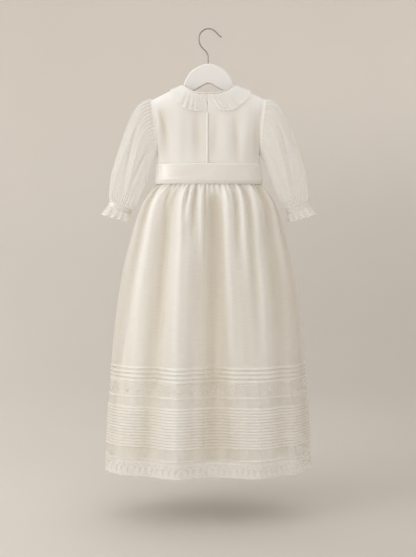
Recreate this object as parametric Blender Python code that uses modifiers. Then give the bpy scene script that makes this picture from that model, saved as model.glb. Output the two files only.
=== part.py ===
"""A christening gown hung on a white wooden hanger by its wire hook.

Sizes are in millimetres and become metres when a mesh is made. The origin is the
hook's seat, where a rail or peg carries it. +Z is up, and the gown's back, with its
opening and placket, faces -Y. Every cloth piece is a closed wall between an outer
and an inner skin. A row of a skin runs across the piece, and its places run from -1
at the left side seam, through 0 at the centre line, to 1 at the right side seam.
"""
import math

import bmesh
import bpy
import numpy as np

METRE = 0.001
SHARP_ANGLE = 50
SEAM = 0.3
BACK = -1.0
FRONT = 1.0

# Cloth thicknesses.
ORGANZA = 1.5
BODICE_CLOTH = 2.0
LINING_CLOTH = 1.3
SLEEVE_CLOTH = 1.3
BAND_CLOTH = 1.8
FRILL_CLOTH = 1.2
PLACKET_CLOTH = 1.0
SASH_CLOTH = 1.6

# Heights of the horizontal seams, edges and tucks.
WAIST_SEAM = -316.0
SKIRT_END = -741.5
INSERTION_END = -772.7
TUCKED_END = -905.0
HEM = -941.0
LINING_HEM = -911.0
SASH_TOP = -282.0
SASH_END = -325.7
UPPER_TUCKS = 4
UPPER_TUCK_FIRST = -712.0
UPPER_TUCK_PITCH = 9.1
LOWER_TUCKS = 14
LOWER_TUCK_FIRST = -797.0
LOWER_TUCK_PITCH = 6.32
TUCK_STAND = 1.4
TUCK_UNDERCUT = 0.7

# Rings round the gown are blunt ovals of this power. Places along them are evenly spaced
# on a ring that is this many times as wide as it is deep.
OVAL_POWER = 2.4
OVAL_SHAPE = 2.4
OVAL_STEPS = 400
CENTRE_BACK_SKIRT = -5.5
CENTRE_BACK_BODICE = -2.5

# The skirt's rings.
SKIRT_COLUMNS = ("z", "half_width", "half_depth")
SKIRT = (
    (-316.0, 112.0, 44.6),
    (-326.4, 113.2, 45.6),
    (-336.0, 122.0, 50.0),
    (-346.0, 130.0, 54.0),
    (-366.5, 144.0, 61.0),
    (-404.0, 158.0, 67.5),
    (-445.0, 168.5, 72.0),
    (-479.0, 177.5, 75.0),
    (-520.0, 186.5, 78.0),
    (-568.0, 194.5, 80.5),
    (-616.0, 201.0, 82.5),
    (-665.0, 206.5, 84.5),
    (-698.0, 209.5, 86.0),
    (-760.0, 213.5, 88.5),
    (-793.0, 217.0, 89.5),
    (-844.0, 220.5, 91.5),
    (-898.0, 223.5, 93.5),
    (-941.0, 224.5, 95.0),
)

# The lining hangs a little to the left inside the skirt.
LINING_COLUMNS = ("z", "half_width", "half_depth", "shift")
LINING = (
    (-316.0, 109.8, 42.5, 0.0),
    (-330.0, 110.2, 42.3, 0.0),
    (-345.0, 115.0, 44.5, -1.5),
    (-366.5, 121.0, 47.5, -3.0),
    (-410.0, 130.0, 51.0, -4.5),
    (-448.0, 137.0, 54.0, -5.0),
    (-505.0, 147.5, 58.0, -6.8),
    (-600.0, 158.5, 63.0, -13.0),
    (-698.0, 169.0, 67.0, -18.5),
    (-793.0, 179.0, 70.0, -22.0),
    (-911.0, 186.0, 74.0, -21.5),
)
LINING_LEVELS = (-316.3, -330.0, -360.0, -410.0, -505.0, -640.0, -780.0, LINING_HEM)
LINING_FOLDS = 9
LINING_PLACES = 21
LINING_FOLD_DEPTH = 3.0

# Rows of the skirt above its tucks, with the columns a quarter has and the gathers' depth.
GATHER_COLUMNS = ("z", "quarter_columns", "gather")
GATHERS = (
    (-316.0, 21, 0.0),
    (-326.4, 21, 0.5),
    (-336.0, 21, 2.1),
    (-356.0, 21, 2.4),
    (-392.0, 21, 2.1),
    (-442.0, 21, 1.2),
    (-505.0, 21, 0.4),
    (-560.0, 11, 0.0),
    (-625.0, 11, 0.0),
    (-702.5, 11, 0.0),
)
QUARTER_COLUMNS = 11
GATHER_PAIRS = 21

# Large soft folds of the skirt: where the crest or valley is, how broad, how far out.
FOLD_COLUMNS = ("place", "breadth", "at_hip", "at_hem")
BACK_FOLDS = (
    (-0.88, 0.09, 4.0, 6.0),
    (-0.71, 0.08, 5.0, 4.0),
    (-0.55, 0.08, -5.0, -5.0),
    (-0.28, 0.14, 6.0, 11.0),
    (0.07, 0.13, -6.0, -9.0),
    (0.42, 0.14, 5.0, 10.0),
    (0.60, 0.07, -4.0, -3.0),
    (0.71, 0.08, 4.0, 4.0),
    (0.87, 0.07, -4.0, -6.0),
)
FRONT_FOLDS = (
    (-0.86, 0.09, 4.0, 6.0),
    (-0.64, 0.10, -5.0, -7.0),
    (-0.38, 0.12, 5.0, 10.0),
    (-0.10, 0.10, -4.0, -7.0),
    (0.14, 0.11, 5.0, 8.0),
    (0.36, 0.09, -4.0, -6.0),
    (0.58, 0.12, 5.0, 9.0),
    (0.84, 0.09, -4.0, -5.0),
)
FOLD_START = -330.0
FOLD_HIP = -450.0

# The bodice: its side line, and its half depth on the centre line.
BODICE_END = WAIST_SEAM + SEAM
BODICE_COLUMNS = ("z", "side", "middle")
BODICE = (
    (-117.0, 118.0, 26.5),
    (-147.0, 118.0, 28.5),
    (-168.0, 112.5, 31.0),
    (-200.0, 108.5, 33.0),
    (-236.0, 108.0, 36.0),
    (-263.0, 109.5, 38.5),
    (-289.0, 111.0, 42.0),
    (BODICE_END, 112.3, 44.7),
)
ARMPIT = -263.0
ARMHOLE_DEPTH = 27.0
ARMHOLE_LEVEL = -205.0
# The shoulder line falls from a ridge point over the neck.
RIDGE_TOP = -89.0
RIDGE_FALL = 0.4918
ARCH_HEIGHT = 55.0
NECK_SHARE = 0.5
NECK_COLUMNS = ("across", "back", "front")
NECKLINE = (
    (0.0, -138.5, -151.0),
    (15.0, -138.2, -150.0),
    (34.0, -133.5, -142.0),
    (50.0, -123.8, -127.5),
    (59.0, -118.016, -118.016),
)
BODICE_SHARES = (0.0, 0.17, 0.34, 0.44, 0.48, 0.5, 0.62, 0.75, 0.87, 0.95, 1.0)
ARMHOLE_STEPS = (0.0, 0.006, 0.03, 0.10, 0.25, 0.50, 0.76, 1.0)
SIDE_SEAM_STEPS = (0.5, 1.0)

# Sleeve stations: the outer and inner ends of each ring, its half depth and gathers.
SLEEVE_COLUMNS = ("outer_x", "outer_z", "inner_x", "inner_z", "half_depth", "gather")
SLEEVE = (
    (126.0, -146.5, 111.8, -265.5, 30.0, 1.2),
    (140.0, -152.5, 114.5, -269.5, 33.5, 1.5),
    (156.0, -167.0, 117.5, -275.0, 36.5, 1.1),
    (174.0, -202.0, 122.0, -286.0, 38.0, 0.6),
    (186.5, -238.0, 127.0, -301.0, 37.0, 0.4),
    (200.5, -279.0, 133.5, -322.5, 34.0, 0.6),
    (209.5, -314.0, 140.5, -341.0, 29.5, 1.1),
    (212.5, -344.0, 151.0, -362.5, 24.0, 1.5),
    (211.0, -360.9, 164.2, -380.0, 19.0, 0.3),
)
SLEEVE_SIDE_COLUMNS = 12
CUFF_OUTER = (211.4, -361.2)
CUFF_INNER = (164.3, -380.5)
CUFF_HALF_DEPTH = 19.4
CUFF_HEIGHT = 8.5
FRILL_OUTER = (227.5, -388.5)
FRILL_INNER = (170.5, -404.5)
FRILL_HALF_DEPTH = 27.0
FRILL_INSET = 0.2
FRILL_ROWS = (0.0, 0.45, 1.0)
FRILL_WAVES = 10
FRILL_WAVE_DEPTH = 2.6
COLUMNS_A_WAVE = 4

# Collar halves, from centre back over the shoulder to centre front: where each row
# leaves the neckline, and its outer edge.
COLLAR_COLUMNS = ("along", "neck_x", "edge_x", "edge_z")
COLLAR_RIGHT = (
    (0.00, 2.0, 21.0, -168.5),
    (0.10, 14.0, 31.0, -173.0),
    (0.22, 28.0, 50.0, -170.5),
    (0.33, 42.0, 68.5, -159.0),
    (0.41, 52.0, 83.0, -143.5),
    (0.46, 57.0, 86.5, -135.0),
    (0.50, 59.0, 87.5, -132.1),
    (0.54, 57.0, 86.5, -135.5),
    (0.59, 52.0, 83.0, -145.5),
    (0.67, 42.0, 69.0, -166.0),
    (0.78, 28.0, 50.0, -181.0),
    (0.90, 14.0, 31.0, -185.0),
    (1.00, 3.0, 19.0, -184.0),
)
COLLAR_LEFT = (
    (0.00, 19.0, 18.5, -175.0),
    (0.10, 27.0, 31.0, -172.0),
    (0.22, 36.0, 47.0, -168.5),
    (0.33, 46.0, 61.0, -158.5),
    (0.41, 53.0, 74.0, -143.5),
    (0.46, 57.0, 78.5, -131.5),
    (0.50, 59.0, 79.5, -128.15),
    (0.54, 57.0, 79.5, -132.0),
    (0.59, 52.0, 77.0, -144.0),
    (0.67, 42.0, 66.0, -165.0),
    (0.78, 28.0, 49.0, -181.0),
    (0.90, 14.0, 31.0, -185.0),
    (1.00, 3.0, 19.0, -184.0),
)
COLLAR_WAVES = 10
COLLAR_WAVE_DEPTH = 4.0
COLLAR_LIFT_COLUMNS = ("across", "lift")
COLLAR_LIFT = ((0.0, 0.6), (0.5, 1.6), (1.0, 2.0))

# The rolled neck binding, open at the centre back.
BINDING_RADIUS = 1.6
BINDING_RISE = 2.3
BINDING_OPENING = 1.4

# The placket under the back opening.
PLACKET_LEFT = -16.5
PLACKET_RIGHT = -3.4
PLACKET_TOP = -139.3
PLACKET_END = -175.6
PLACKET_ROWS = 5
PLACKET_LINES = 4

# The sash lies over the waist seam.
SASH_COLUMNS = ("z", "half_width", "half_depth")
SASH = (
    (SASH_TOP, 111.6, 42.3),
    (-297.0, 112.5, 44.0),
    (-312.0, 113.3, 45.6),
    (SASH_END, 114.7, 47.0),
)
SASH_QUARTER_COLUMNS = 14

# The hanger's outline, right half from the top of its hump, and its wire hook.
HANGER_THICKNESS = 12.0
HANGER_ROUNDING = 0.6
HANGER_DROP = 3.7
HANGER_SHOULDER = (61.0, 104.0)
HANGER_HUMP = ((0.0, -71.7), (9.5, -73.2), (18.5, -76.7), (27.0, -80.7), (34.6, -85.7),
               (40.2, -91.5), (44.8, -98.9), (50.4, -108.5), (52.0, -114.0), (52.3, -118.5),
               (53.4, -122.9))
HANGER_END = ((107.5, -148.5), (109.4, -154.0), (108.6, -160.5), (105.5, -165.5), (101.0, -167.0))
HANGER_UNDER = ((33.0, -129.5), (14.0, -119.0), (6.0, -114.5), (0.0, -112.8))
HOOK_RADIUS = 1.5
HOOK_ROUTE = ((-1.0, -71.4), (-1.0, -62.0), (-1.6, -53.5), (-5.0, -46.5), (-11.0, -40.5),
              (-16.4, -34.0), (-19.4, -26.5), (-20.0, -18.5), (-18.6, -11.4), (-14.6, -4.9),
              (-8.2, -0.3), (0.0, 1.5), (7.8, -0.1), (14.2, -4.2), (19.2, -9.2), (23.4, -13.6),
              (28.0, -16.6))
HOOK_STEPS = 2

COLOURS = {
    "organza": ((0.87, 0.84, 0.77), 0.55, 0.0),
    "bodice_cloth": ((0.88, 0.85, 0.78), 0.6, 0.0),
    "lining": ((0.86, 0.83, 0.76), 0.65, 0.0),
    "lace": ((0.88, 0.86, 0.80), 0.7, 0.0),
    "satin": ((0.88, 0.85, 0.79), 0.3, 0.0),
    "painted_wood": ((0.88, 0.88, 0.87), 0.4, 0.0),
    "hook_wire": ((0.75, 0.75, 0.76), 0.2, 1.0),
}


def read(table, columns, name, places):
    """Reads one named column of a table at the places given along its first column."""
    first = [row[0] for row in table]
    values = [row[columns.index(name)] for row in table]
    if first[-1] < first[0]:
        first, values = first[::-1], values[::-1]
    return np.interp(places, first, values)


def oval_tables():
    """Points of a quarter oval, evenly spaced by length, from the centre line to the side."""
    angle = np.linspace(0.0, math.pi / 2, OVAL_STEPS)
    across = np.sin(angle) ** (2 / OVAL_POWER)
    deep = np.cos(angle) ** (2 / OVAL_POWER)
    deep[-1] = 0.0
    steps = np.hypot(np.diff(across) * OVAL_SHAPE, np.diff(deep))
    length = np.concatenate(([0.0], np.cumsum(steps)))
    return length / length[-1], across, deep


OVAL_LENGTH, OVAL_ACROSS, OVAL_DEEP = oval_tables()


def oval(places, half_width, half_depth, side):
    """Points of half an oval ring and their outward normals, seen from above."""
    share = np.abs(places)
    across = np.interp(share, OVAL_LENGTH, OVAL_ACROSS)
    deep = np.interp(share, OVAL_LENGTH, OVAL_DEEP)
    points = np.stack((np.sign(places) * across * half_width, side * deep * half_depth), axis=1)
    normals = np.stack((np.sign(places) * across ** (OVAL_POWER - 1) / half_width,
                        side * deep ** (OVAL_POWER - 1) / half_depth), axis=1)
    normals /= np.linalg.norm(normals, axis=1)[:, None]
    return points, normals


def keep_side(points, side):
    """Keeps a half clear of the plane where it meets the other half."""
    points[:, 1] = side * np.maximum(side * points[:, 1], SEAM / 2)
    return points


def part_at_centre(points, places, centre, level_share):
    """Moves the centre line sideways and parts the two back panels along it."""
    points[:, 0] += centre * level_share
    if places[0] == 0.0:
        points[0, 0] += SEAM / 2
    if places[-1] == 0.0:
        points[-1, 0] -= SEAM / 2
    return points


def zip_rows(faces, first, first_places, second, second_places):
    """Fills the strip between two rows, stepping along whichever row lags behind."""
    i = j = 0
    while i < len(first) - 1 or j < len(second) - 1:
        if j == len(second) - 1:
            step_first = True
        elif i == len(first) - 1:
            step_first = False
        else:
            step_first = first_places[i + 1] <= second_places[j + 1]
        if step_first:
            faces.append((first[i], first[i + 1], second[j]))
            i += 1
        else:
            faces.append((first[i], second[j + 1], second[j]))
            j += 1


def wall(name, outer, inner, material, closed=False):
    """Makes one closed body between two skins.

    A skin is a list of rows, and a row is (level, places, points). With closed set,
    each row is a whole ring, and otherwise the piece has two side edges.
    """
    vertices, faces, numbered = [], [], []
    for skin in (outer, inner):
        rows = []
        for level, places, points in skin:
            start = len(vertices)
            vertices.extend(tuple(point * METRE) for point in points)
            numbers = list(range(start, len(vertices)))
            places = list(places)
            if closed:
                numbers.append(start)
                places.append(2 * places[-1] - places[-2])
            rows.append((level, places, numbers))
        for above, below in zip(rows, rows[1:]):
            zip_rows(faces, above[2], above[1], below[2], below[1])
        numbered.append(rows)
    for end in (0, -1):
        out_row, in_row = numbered[0][end], numbered[1][end]
        zip_rows(faces, out_row[2], out_row[1], in_row[2], in_row[1])
    if not closed:
        for end in (0, -1):
            edges = [([row[2][end] for row in rows], [-row[0] for row in rows]) for rows in numbered]
            zip_rows(faces, edges[0][0], edges[0][1], edges[1][0], edges[1][1])
    return add_mesh(name, vertices, faces, material)


def add_mesh(name, vertices, faces, material):
    """Adds a smooth-shaded mesh object with its faces pointing out."""
    mesh = bpy.data.meshes.new(name)
    mesh.from_pydata(vertices, [], faces)
    work = bmesh.new()
    work.from_mesh(mesh)
    bmesh.ops.recalc_face_normals(work, faces=work.faces[:])
    work.to_mesh(mesh)
    work.free()
    mesh.shade_smooth()
    mesh.set_sharp_from_angle(angle=math.radians(SHARP_ANGLE))
    piece = bpy.data.objects.new(name, mesh)
    COLLECTION.objects.link(piece)
    dress(piece, material)
    return piece


def dress(piece, finish):
    """Gives a piece its own material in the named finish."""
    colour, roughness, metallic = COLOURS[finish]
    material = bpy.data.materials.new(piece.name + "_" + finish)
    material.use_nodes = True
    shader = material.node_tree.nodes["Principled BSDF"]
    shader.inputs["Base Color"].default_value = (*colour, 1.0)
    shader.inputs["Roughness"].default_value = roughness
    shader.inputs["Metallic"].default_value = metallic
    piece.data.materials.append(material)


def fold_stand(side, places, z):
    """How far the skirt's large folds stand out at each place of a level."""
    table = BACK_FOLDS if side == BACK else FRONT_FOLDS
    grown = np.interp(z, (FOLD_HIP, FOLD_START), (1.0, 0.0))
    towards_hem = np.interp(z, (HEM, FOLD_HIP), (1.0, 0.0))
    stand = np.zeros(len(places))
    for place, breadth, at_hip, at_hem in table:
        height = at_hip + (at_hem - at_hip) * towards_hem
        stand += height * np.exp(-((places - place) / breadth) ** 2)
    return stand * grown * (1.0 - places ** 8)


def gather_stand(places, depth):
    """Small gathers, a crest and a valley on neighbouring columns, slightly uneven."""
    wave = np.cos(math.pi * GATHER_PAIRS * (places + 1.0))
    uneven = 0.8 + 0.2 * np.sin(11.0 * places + 1.0)
    seam_free = 1.0 - (2.0 * np.abs(np.abs(places) - 0.5)) ** 24
    return depth * wave * uneven * seam_free


def skirt_row(side, places, z, gather, stand):
    """One row of the skirt's cloth at a height, moved out by stand."""
    half_width = read(SKIRT, SKIRT_COLUMNS, "half_width", z)
    half_depth = read(SKIRT, SKIRT_COLUMNS, "half_depth", z)
    flat, normals = oval(places, half_width, half_depth, side)
    out = fold_stand(side, places, z) + gather_stand(places, gather) + stand
    flat = keep_side(flat + normals * out[:, None], side)
    if side == BACK:
        flat = part_at_centre(flat, places, CENTRE_BACK_SKIRT, (1.0 - np.abs(places)) ** 2)
    return z, places, np.column_stack((flat, np.full(len(places), z)))


def panels():
    """The three cut panels: name, side, and the first and last place across."""
    return (("front", FRONT, -1.0, 1.0), ("back_left", BACK, -1.0, 0.0), ("back_right", BACK, 0.0, 1.0))


def tuck_rows(first, pitch, count):
    """Heights and stands of a group of tucks, each lapping down over the next."""
    rows = []
    for number in range(count):
        edge = first - pitch * number
        rows += [(edge, TUCK_STAND), (edge - TUCK_UNDERCUT, 0.0)]
    return rows


def skirt_piece(name, levels, inner_levels, material):
    """One horizontal stretch of the skirt, in its three panels.

    Levels are (height, columns a quarter, gather depth, stand of the outer skin).
    """
    for panel, side, start, end in panels():
        skins = []
        for thickness, wanted in ((0.0, levels), (ORGANZA, inner_levels)):
            rows = []
            for z, quarter, gather, stand in wanted:
                places = np.linspace(start, end, int(quarter * (end - start)) + 1)
                rows.append(skirt_row(side, places, z, gather, stand - thickness))
            skins.append(rows)
        wall(name + "_" + panel, skins[0], skins[1], material)


def make_skirt():
    """Gathered skirt with its tucks, embroidered insertion, tucked band and hem lace."""
    body = [(z, quarter, gather, 0.0) for z, quarter, gather in GATHERS]
    upper = tuck_rows(UPPER_TUCK_FIRST, UPPER_TUCK_PITCH, UPPER_TUCKS)
    upper = [(z, QUARTER_COLUMNS, 0.0, stand) for z, stand in upper]
    end = [(SKIRT_END, QUARTER_COLUMNS, 0.0, 0.0)]
    skirt_piece("skirt", body + upper + end, body + end, "organza")

    def plain(*heights):
        return [(z, QUARTER_COLUMNS, 0.0, 0.0) for z in heights]

    insertion = plain(SKIRT_END - SEAM, INSERTION_END)
    skirt_piece("insertion", insertion, insertion, "lace")
    lower = tuck_rows(LOWER_TUCK_FIRST, LOWER_TUCK_PITCH, LOWER_TUCKS)
    lower = [(z, QUARTER_COLUMNS, 0.0, stand) for z, stand in lower]
    band_top, band_end = INSERTION_END - SEAM, TUCKED_END + SEAM
    flat_end = LOWER_TUCK_FIRST + LOWER_TUCK_PITCH
    tucked = plain(band_top, flat_end) + lower + plain(band_end)
    skirt_piece("tucked_band", tucked, plain(band_top, (band_top + band_end) / 2, band_end), "organza")
    lace = plain(TUCKED_END, (TUCKED_END + HEM) / 2, HEM)
    skirt_piece("hem_lace", lace, lace, "lace")


def make_lining():
    """The skirt's plain lining, a front and a back."""
    for name, side in (("lining_front", FRONT), ("lining_back", BACK)):
        places = np.linspace(-1.0, 1.0, LINING_PLACES)
        skins = []
        for thickness in (0.0, LINING_CLOTH):
            rows = []
            for z in LINING_LEVELS:
                size = [read(LINING, LINING_COLUMNS, column, z) for column in LINING_COLUMNS[1:]]
                flat, normals = oval(places, size[0], size[1], side)
                grown = np.interp(z, (LINING_HEM, FOLD_START), (1.0, 0.0))
                waves = np.sin(math.pi * LINING_FOLDS * places) * (1.0 - places ** 8)
                out = LINING_FOLD_DEPTH * grown * waves - thickness
                flat = keep_side(flat + normals * out[:, None], side)
                flat[:, 0] += size[2]
                rows.append((z, places, np.column_stack((flat, np.full(len(places), z)))))
            skins.append(rows)
        wall(name, skins[0], skins[1], "lining")


def ridge(x):
    """Height of the shoulder line over a place across."""
    return RIDGE_TOP - RIDGE_FALL * np.abs(x)


def arch(drop):
    """Share of the full depth that the cloth has reached this far below the shoulder line."""
    left = 1.0 - np.clip(drop, 0.0, ARCH_HEIGHT) / ARCH_HEIGHT
    return (1.0 - left ** OVAL_POWER) ** (1 / OVAL_POWER)


def armhole_depth(z):
    """Half depth of the armhole edge below the shoulder, falling to nothing at the armpit."""
    below = np.clip((ARMHOLE_LEVEL - z) / (ARMHOLE_LEVEL - ARMPIT), 0.0, 1.0)
    return ARMHOLE_DEPTH * np.sqrt(1.0 - below ** 2)


def bodice_depth(x, z, inset=0.0):
    """Half depth of the bodice at a place across and a height."""
    share = np.clip(np.abs(x) / read(BODICE, BODICE_COLUMNS, "side", z), 0.0, 1.0)
    crown = (1.0 - share ** OVAL_POWER) ** (1 / OVAL_POWER)
    edge = armhole_depth(z)
    full = edge + (read(BODICE, BODICE_COLUMNS, "middle", z) - edge) * crown
    return (full - inset) * arch(ridge(x) - z)


def bodice_top(share, side):
    """Height of the bodice's top edge: neckline near the centre, shoulder seam outside."""
    x = share * BODICE[0][1]
    if share < NECK_SHARE:
        return float(read(NECKLINE, NECK_COLUMNS, "back" if side == BACK else "front", x))
    return float(ridge(x))


def bodice_points(share, heights, side, sign, inset):
    """Points of one upright line of the bodice, from the top edge to the waist."""
    across = read(BODICE, BODICE_COLUMNS, "side", heights)
    x = share * across
    drop = ridge(x) - heights
    depth = np.maximum(bodice_depth(x, heights, inset), SEAM / 2)
    lowered = heights - inset * np.clip(1.0 - drop / ARCH_HEIGHT, 0.0, 1.0)
    edge_open = armhole_depth(heights) / read(BODICE, BODICE_COLUMNS, "middle", heights)
    x = x - inset * share ** 4 * (1.0 - edge_open)
    return np.column_stack((sign * x, side * depth, lowered))


def bodice_heights(share, side):
    """Heights of the rows on one upright line, with one row at the armpit's level."""
    top = bodice_top(share, side)
    upper = [top + (ARMPIT - top) * step for step in ARMHOLE_STEPS]
    lower = [ARMPIT + (BODICE_END - ARMPIT) * step for step in SIDE_SEAM_STEPS]
    return np.array(upper + lower)


def bodice_skin(side, places, inset):
    """The rows of one skin of a bodice panel."""
    lines = []
    for place in places:
        share = abs(place)
        heights = bodice_heights(share, side)
        line = bodice_points(share, heights, side, 1.0 if place >= 0.0 else -1.0, inset)
        if side == BACK:
            line[:, 0] += CENTRE_BACK_BODICE * (1.0 - share) ** 2
        lines.append(line)
    grid = np.array(lines)
    if places[0] == 0.0:
        grid[0, :, 0] += SEAM / 2
    if places[-1] == 0.0:
        grid[-1, :, 0] -= SEAM / 2
    return [(-number, np.array(places), grid[:, number]) for number in range(grid.shape[1])]


def make_bodice():
    """Bodice front and two back panels, each cut with its lining as one layer."""
    for panel, side, start, end in panels():
        mirrored = [-share for share in reversed(BODICE_SHARES[1:])]
        places = [place for place in mirrored + list(BODICE_SHARES) if start <= place <= end]
        skins = [bodice_skin(side, places, inset) for inset in (0.0, BODICE_CLOTH)]
        wall("bodice_" + panel, skins[0], skins[1], "bodice_cloth")


def bodice_spot(x, z, side, lift):
    """A point lifted off the bodice's outer face along its normal."""
    step = 0.02
    slope_x = (bodice_depth(x + step, z) - bodice_depth(x - step, z)) / (2 * step)
    slope_z = (bodice_depth(x, z) - bodice_depth(x, z - step)) / step
    normal = np.array((-slope_x, side, -slope_z))
    normal /= np.linalg.norm(normal)
    return np.array((x, side * bodice_depth(x, z), z)) + normal * lift, normal


def neck_height(x, side):
    """Height of the neckline at a place across."""
    return read(NECKLINE, NECK_COLUMNS, "back" if side == BACK else "front", np.abs(x))


def make_collar():
    """Two frilled collar halves lying on the bodice, from centre back to centre front."""
    for name, table, sign in (("collar_right", COLLAR_RIGHT, 1.0), ("collar_left", COLLAR_LEFT, -1.0)):
        along = np.linspace(0.0, 1.0, COLLAR_WAVES * COLUMNS_A_WAVE + 1)
        neck_x = read(table, COLLAR_COLUMNS, "neck_x", along)
        edge_x = read(table, COLLAR_COLUMNS, "edge_x", along)
        edge_z = read(table, COLLAR_COLUMNS, "edge_z", along)
        wave = (1.0 - np.cos(2 * math.pi * COLLAR_WAVES * along)) / 2
        skins = ([], [])
        for across, lift in COLLAR_LIFT:
            rows = ([], [])
            for number, place in enumerate(along):
                side = BACK if place <= 0.5 else FRONT
                neck_z = neck_height(neck_x[number], side)
                x = neck_x[number] + (edge_x[number] - neck_x[number]) * across
                z = neck_z + (edge_z[number] - neck_z) * across
                z = min(z, float(ridge(x)) - 0.05)
                rise = lift + COLLAR_WAVE_DEPTH * wave[number] * across
                for skin, extra in ((0, FRILL_CLOTH), (1, 0.0)):
                    spot, _ = bodice_spot(sign * x, z, side, rise + extra)
                    if place == 0.5:
                        spot[1] = 0.0
                    rows[skin].append(spot)
            for skin in (0, 1):
                skins[skin].append((-across, along, np.array(rows[skin])))
        wall(name, skins[0], skins[1], "organza")


def neck_rim(share, side, sign):
    """The middle of the bodice's top edge on one upright line, and the cloth's normal there."""
    heights = bodice_heights(share, side)[:1]
    rims = [bodice_points(share, heights, side, sign, inset)[0] for inset in (0.0, BODICE_CLOTH)]
    middle = (rims[0] + rims[1]) / 2
    if share == NECK_SHARE:
        middle[1] = 0.0
        normal = np.array((sign * RIDGE_FALL, 0.0, 1.0))
        return middle, normal / np.linalg.norm(normal)
    x, z = share * BODICE[0][1], float(heights[0])
    if side == BACK:
        middle[0] += CENTRE_BACK_BODICE * (1.0 - share) ** 2
    return middle, bodice_spot(sign * x, z, side, 0.0)[1]


def make_binding():
    """The rolled binding that finishes the neckline, open at the centre back."""
    neck = [share for share in BODICE_SHARES if share <= NECK_SHARE]
    stops = [neck_rim(share, BACK, 1.0) for share in neck]
    stops += [neck_rim(share, FRONT, 1.0) for share in reversed(neck[:-1])]
    stops += [neck_rim(share, FRONT, -1.0) for share in neck[1:]]
    stops += [neck_rim(share, BACK, -1.0) for share in reversed(neck[:-1])]
    tangents = np.gradient(np.array([spot for spot, _ in stops]), axis=0)
    raised = []
    for (spot, normal), tangent in zip(stops, tangents):
        away = np.cross(tangent, normal)
        away /= np.linalg.norm(away)
        up_and_in = np.array((-np.sign(spot[0]), 0.0, 1.0))
        raised.append(spot + away * math.copysign(BINDING_RISE, float(away @ up_and_in)))
    raised[0][0] = CENTRE_BACK_BODICE + BINDING_OPENING
    raised[-1][0] = CENTRE_BACK_BODICE - BINDING_OPENING
    tube("neck_binding", raised, BINDING_RADIUS, 1, "satin")


def tube(name, points, radius, resolution, material):
    """A round wire or roll along a list of points, with filled ends."""
    curve = bpy.data.curves.new(name, "CURVE")
    curve.dimensions = "3D"
    curve.bevel_depth = radius * METRE
    curve.bevel_resolution = resolution
    curve.use_fill_caps = True
    spline = curve.splines.new("POLY")
    spline.points.add(len(points) - 1)
    for target, point in zip(spline.points, points):
        target.co = (point[0] * METRE, point[1] * METRE, point[2] * METRE, 1.0)
    piece = bpy.data.objects.new(name, curve)
    COLLECTION.objects.link(piece)
    dress(piece, material)
    return piece


def make_placket():
    """The narrow placket beside the back opening, a strip lying on the left back."""
    columns = np.linspace(PLACKET_LEFT, PLACKET_RIGHT, PLACKET_LINES)
    heights = np.linspace(PLACKET_TOP, PLACKET_END, PLACKET_ROWS)
    skins = []
    for lift in (SEAM + PLACKET_CLOTH, SEAM):
        rows = []
        for z in heights:
            points = [bodice_spot(x, z, BACK, lift)[0] for x in columns]
            rows.append((z, columns, np.array(points)))
        skins.append(rows)
    wall("placket", skins[0], skins[1], "organza")


def ring_normals(points, axis):
    """Outward normals of a closed ring, square to its axis."""
    tangents = np.roll(points, -1, axis=0) - np.roll(points, 1, axis=0)
    normals = np.cross(tangents, axis)
    normals /= np.linalg.norm(normals, axis=1)[:, None]
    outward = np.sum(normals * (points - points.mean(axis=0)), axis=1)
    return normals * np.where(outward < 0.0, -1.0, 1.0)[:, None]


def slanted_ring(outer, inner, half_depth, columns):
    """A ring from its outer end, down the back, to its inner end and up the front."""
    angle = np.arange(columns) * 2 * math.pi / columns
    along = np.sign(np.cos(angle)) * np.abs(np.cos(angle)) ** (2 / OVAL_POWER)
    deep = np.sign(np.sin(angle)) * np.abs(np.sin(angle)) ** (2 / OVAL_POWER)
    deep[np.abs(deep) < 0.01] = 0.0
    outer, inner = np.array(outer), np.array(inner)
    centre, reach = (outer + inner) / 2, (outer - inner) / 2
    x = centre[0] + reach[0] * along
    z = centre[1] + reach[1] * along
    return np.column_stack((x, BACK * deep * half_depth, z))


def ring_axis(outer, inner):
    """The direction of the sleeve square to a ring's long line, down and outwards."""
    line = np.array(outer) - np.array(inner)
    line = line / np.linalg.norm(line)
    return np.array((line[1], 0.0, -line[0]))


def armhole_ring():
    """The sleeve's first ring, on the bodice's own armhole edges and a seam's gap outside."""
    heights = bodice_heights(1.0, BACK)[:len(ARMHOLE_STEPS)]
    edge = bodice_points(1.0, heights, BACK, 1.0, 0.0)
    edge[0, 1] = edge[-1, 1] = 0.0
    places = np.linspace(0.0, 1.0, SLEEVE_SIDE_COLUMNS + 1)
    length = np.concatenate(([0.0], np.cumsum(np.linalg.norm(np.diff(edge, axis=0), axis=1))))
    back = np.column_stack([np.interp(places, length / length[-1], edge[:, k]) for k in range(3)])
    back[:, 0] += 2 * SEAM
    front = back[-2:0:-1] * np.array((1.0, -1.0, 1.0))
    return np.concatenate((back, front))


def sleeve_rings():
    """Rings of a right sleeve: points, normals and gather depth."""
    first = armhole_ring()
    rings = [(first, ring_normals(first, np.array((1.0, 0.0, 0.0))), 0.0)]
    for outer_x, outer_z, inner_x, inner_z, half_depth, gather in SLEEVE:
        outer, inner = (outer_x, outer_z), (inner_x, inner_z)
        points = slanted_ring(outer, inner, half_depth, 2 * SLEEVE_SIDE_COLUMNS)
        rings.append((points, ring_normals(points, ring_axis(outer, inner)), gather))
    return rings


def mirrored(points, sign):
    """The same points on the wearer's other side."""
    return points * np.array((sign, 1.0, 1.0))


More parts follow.
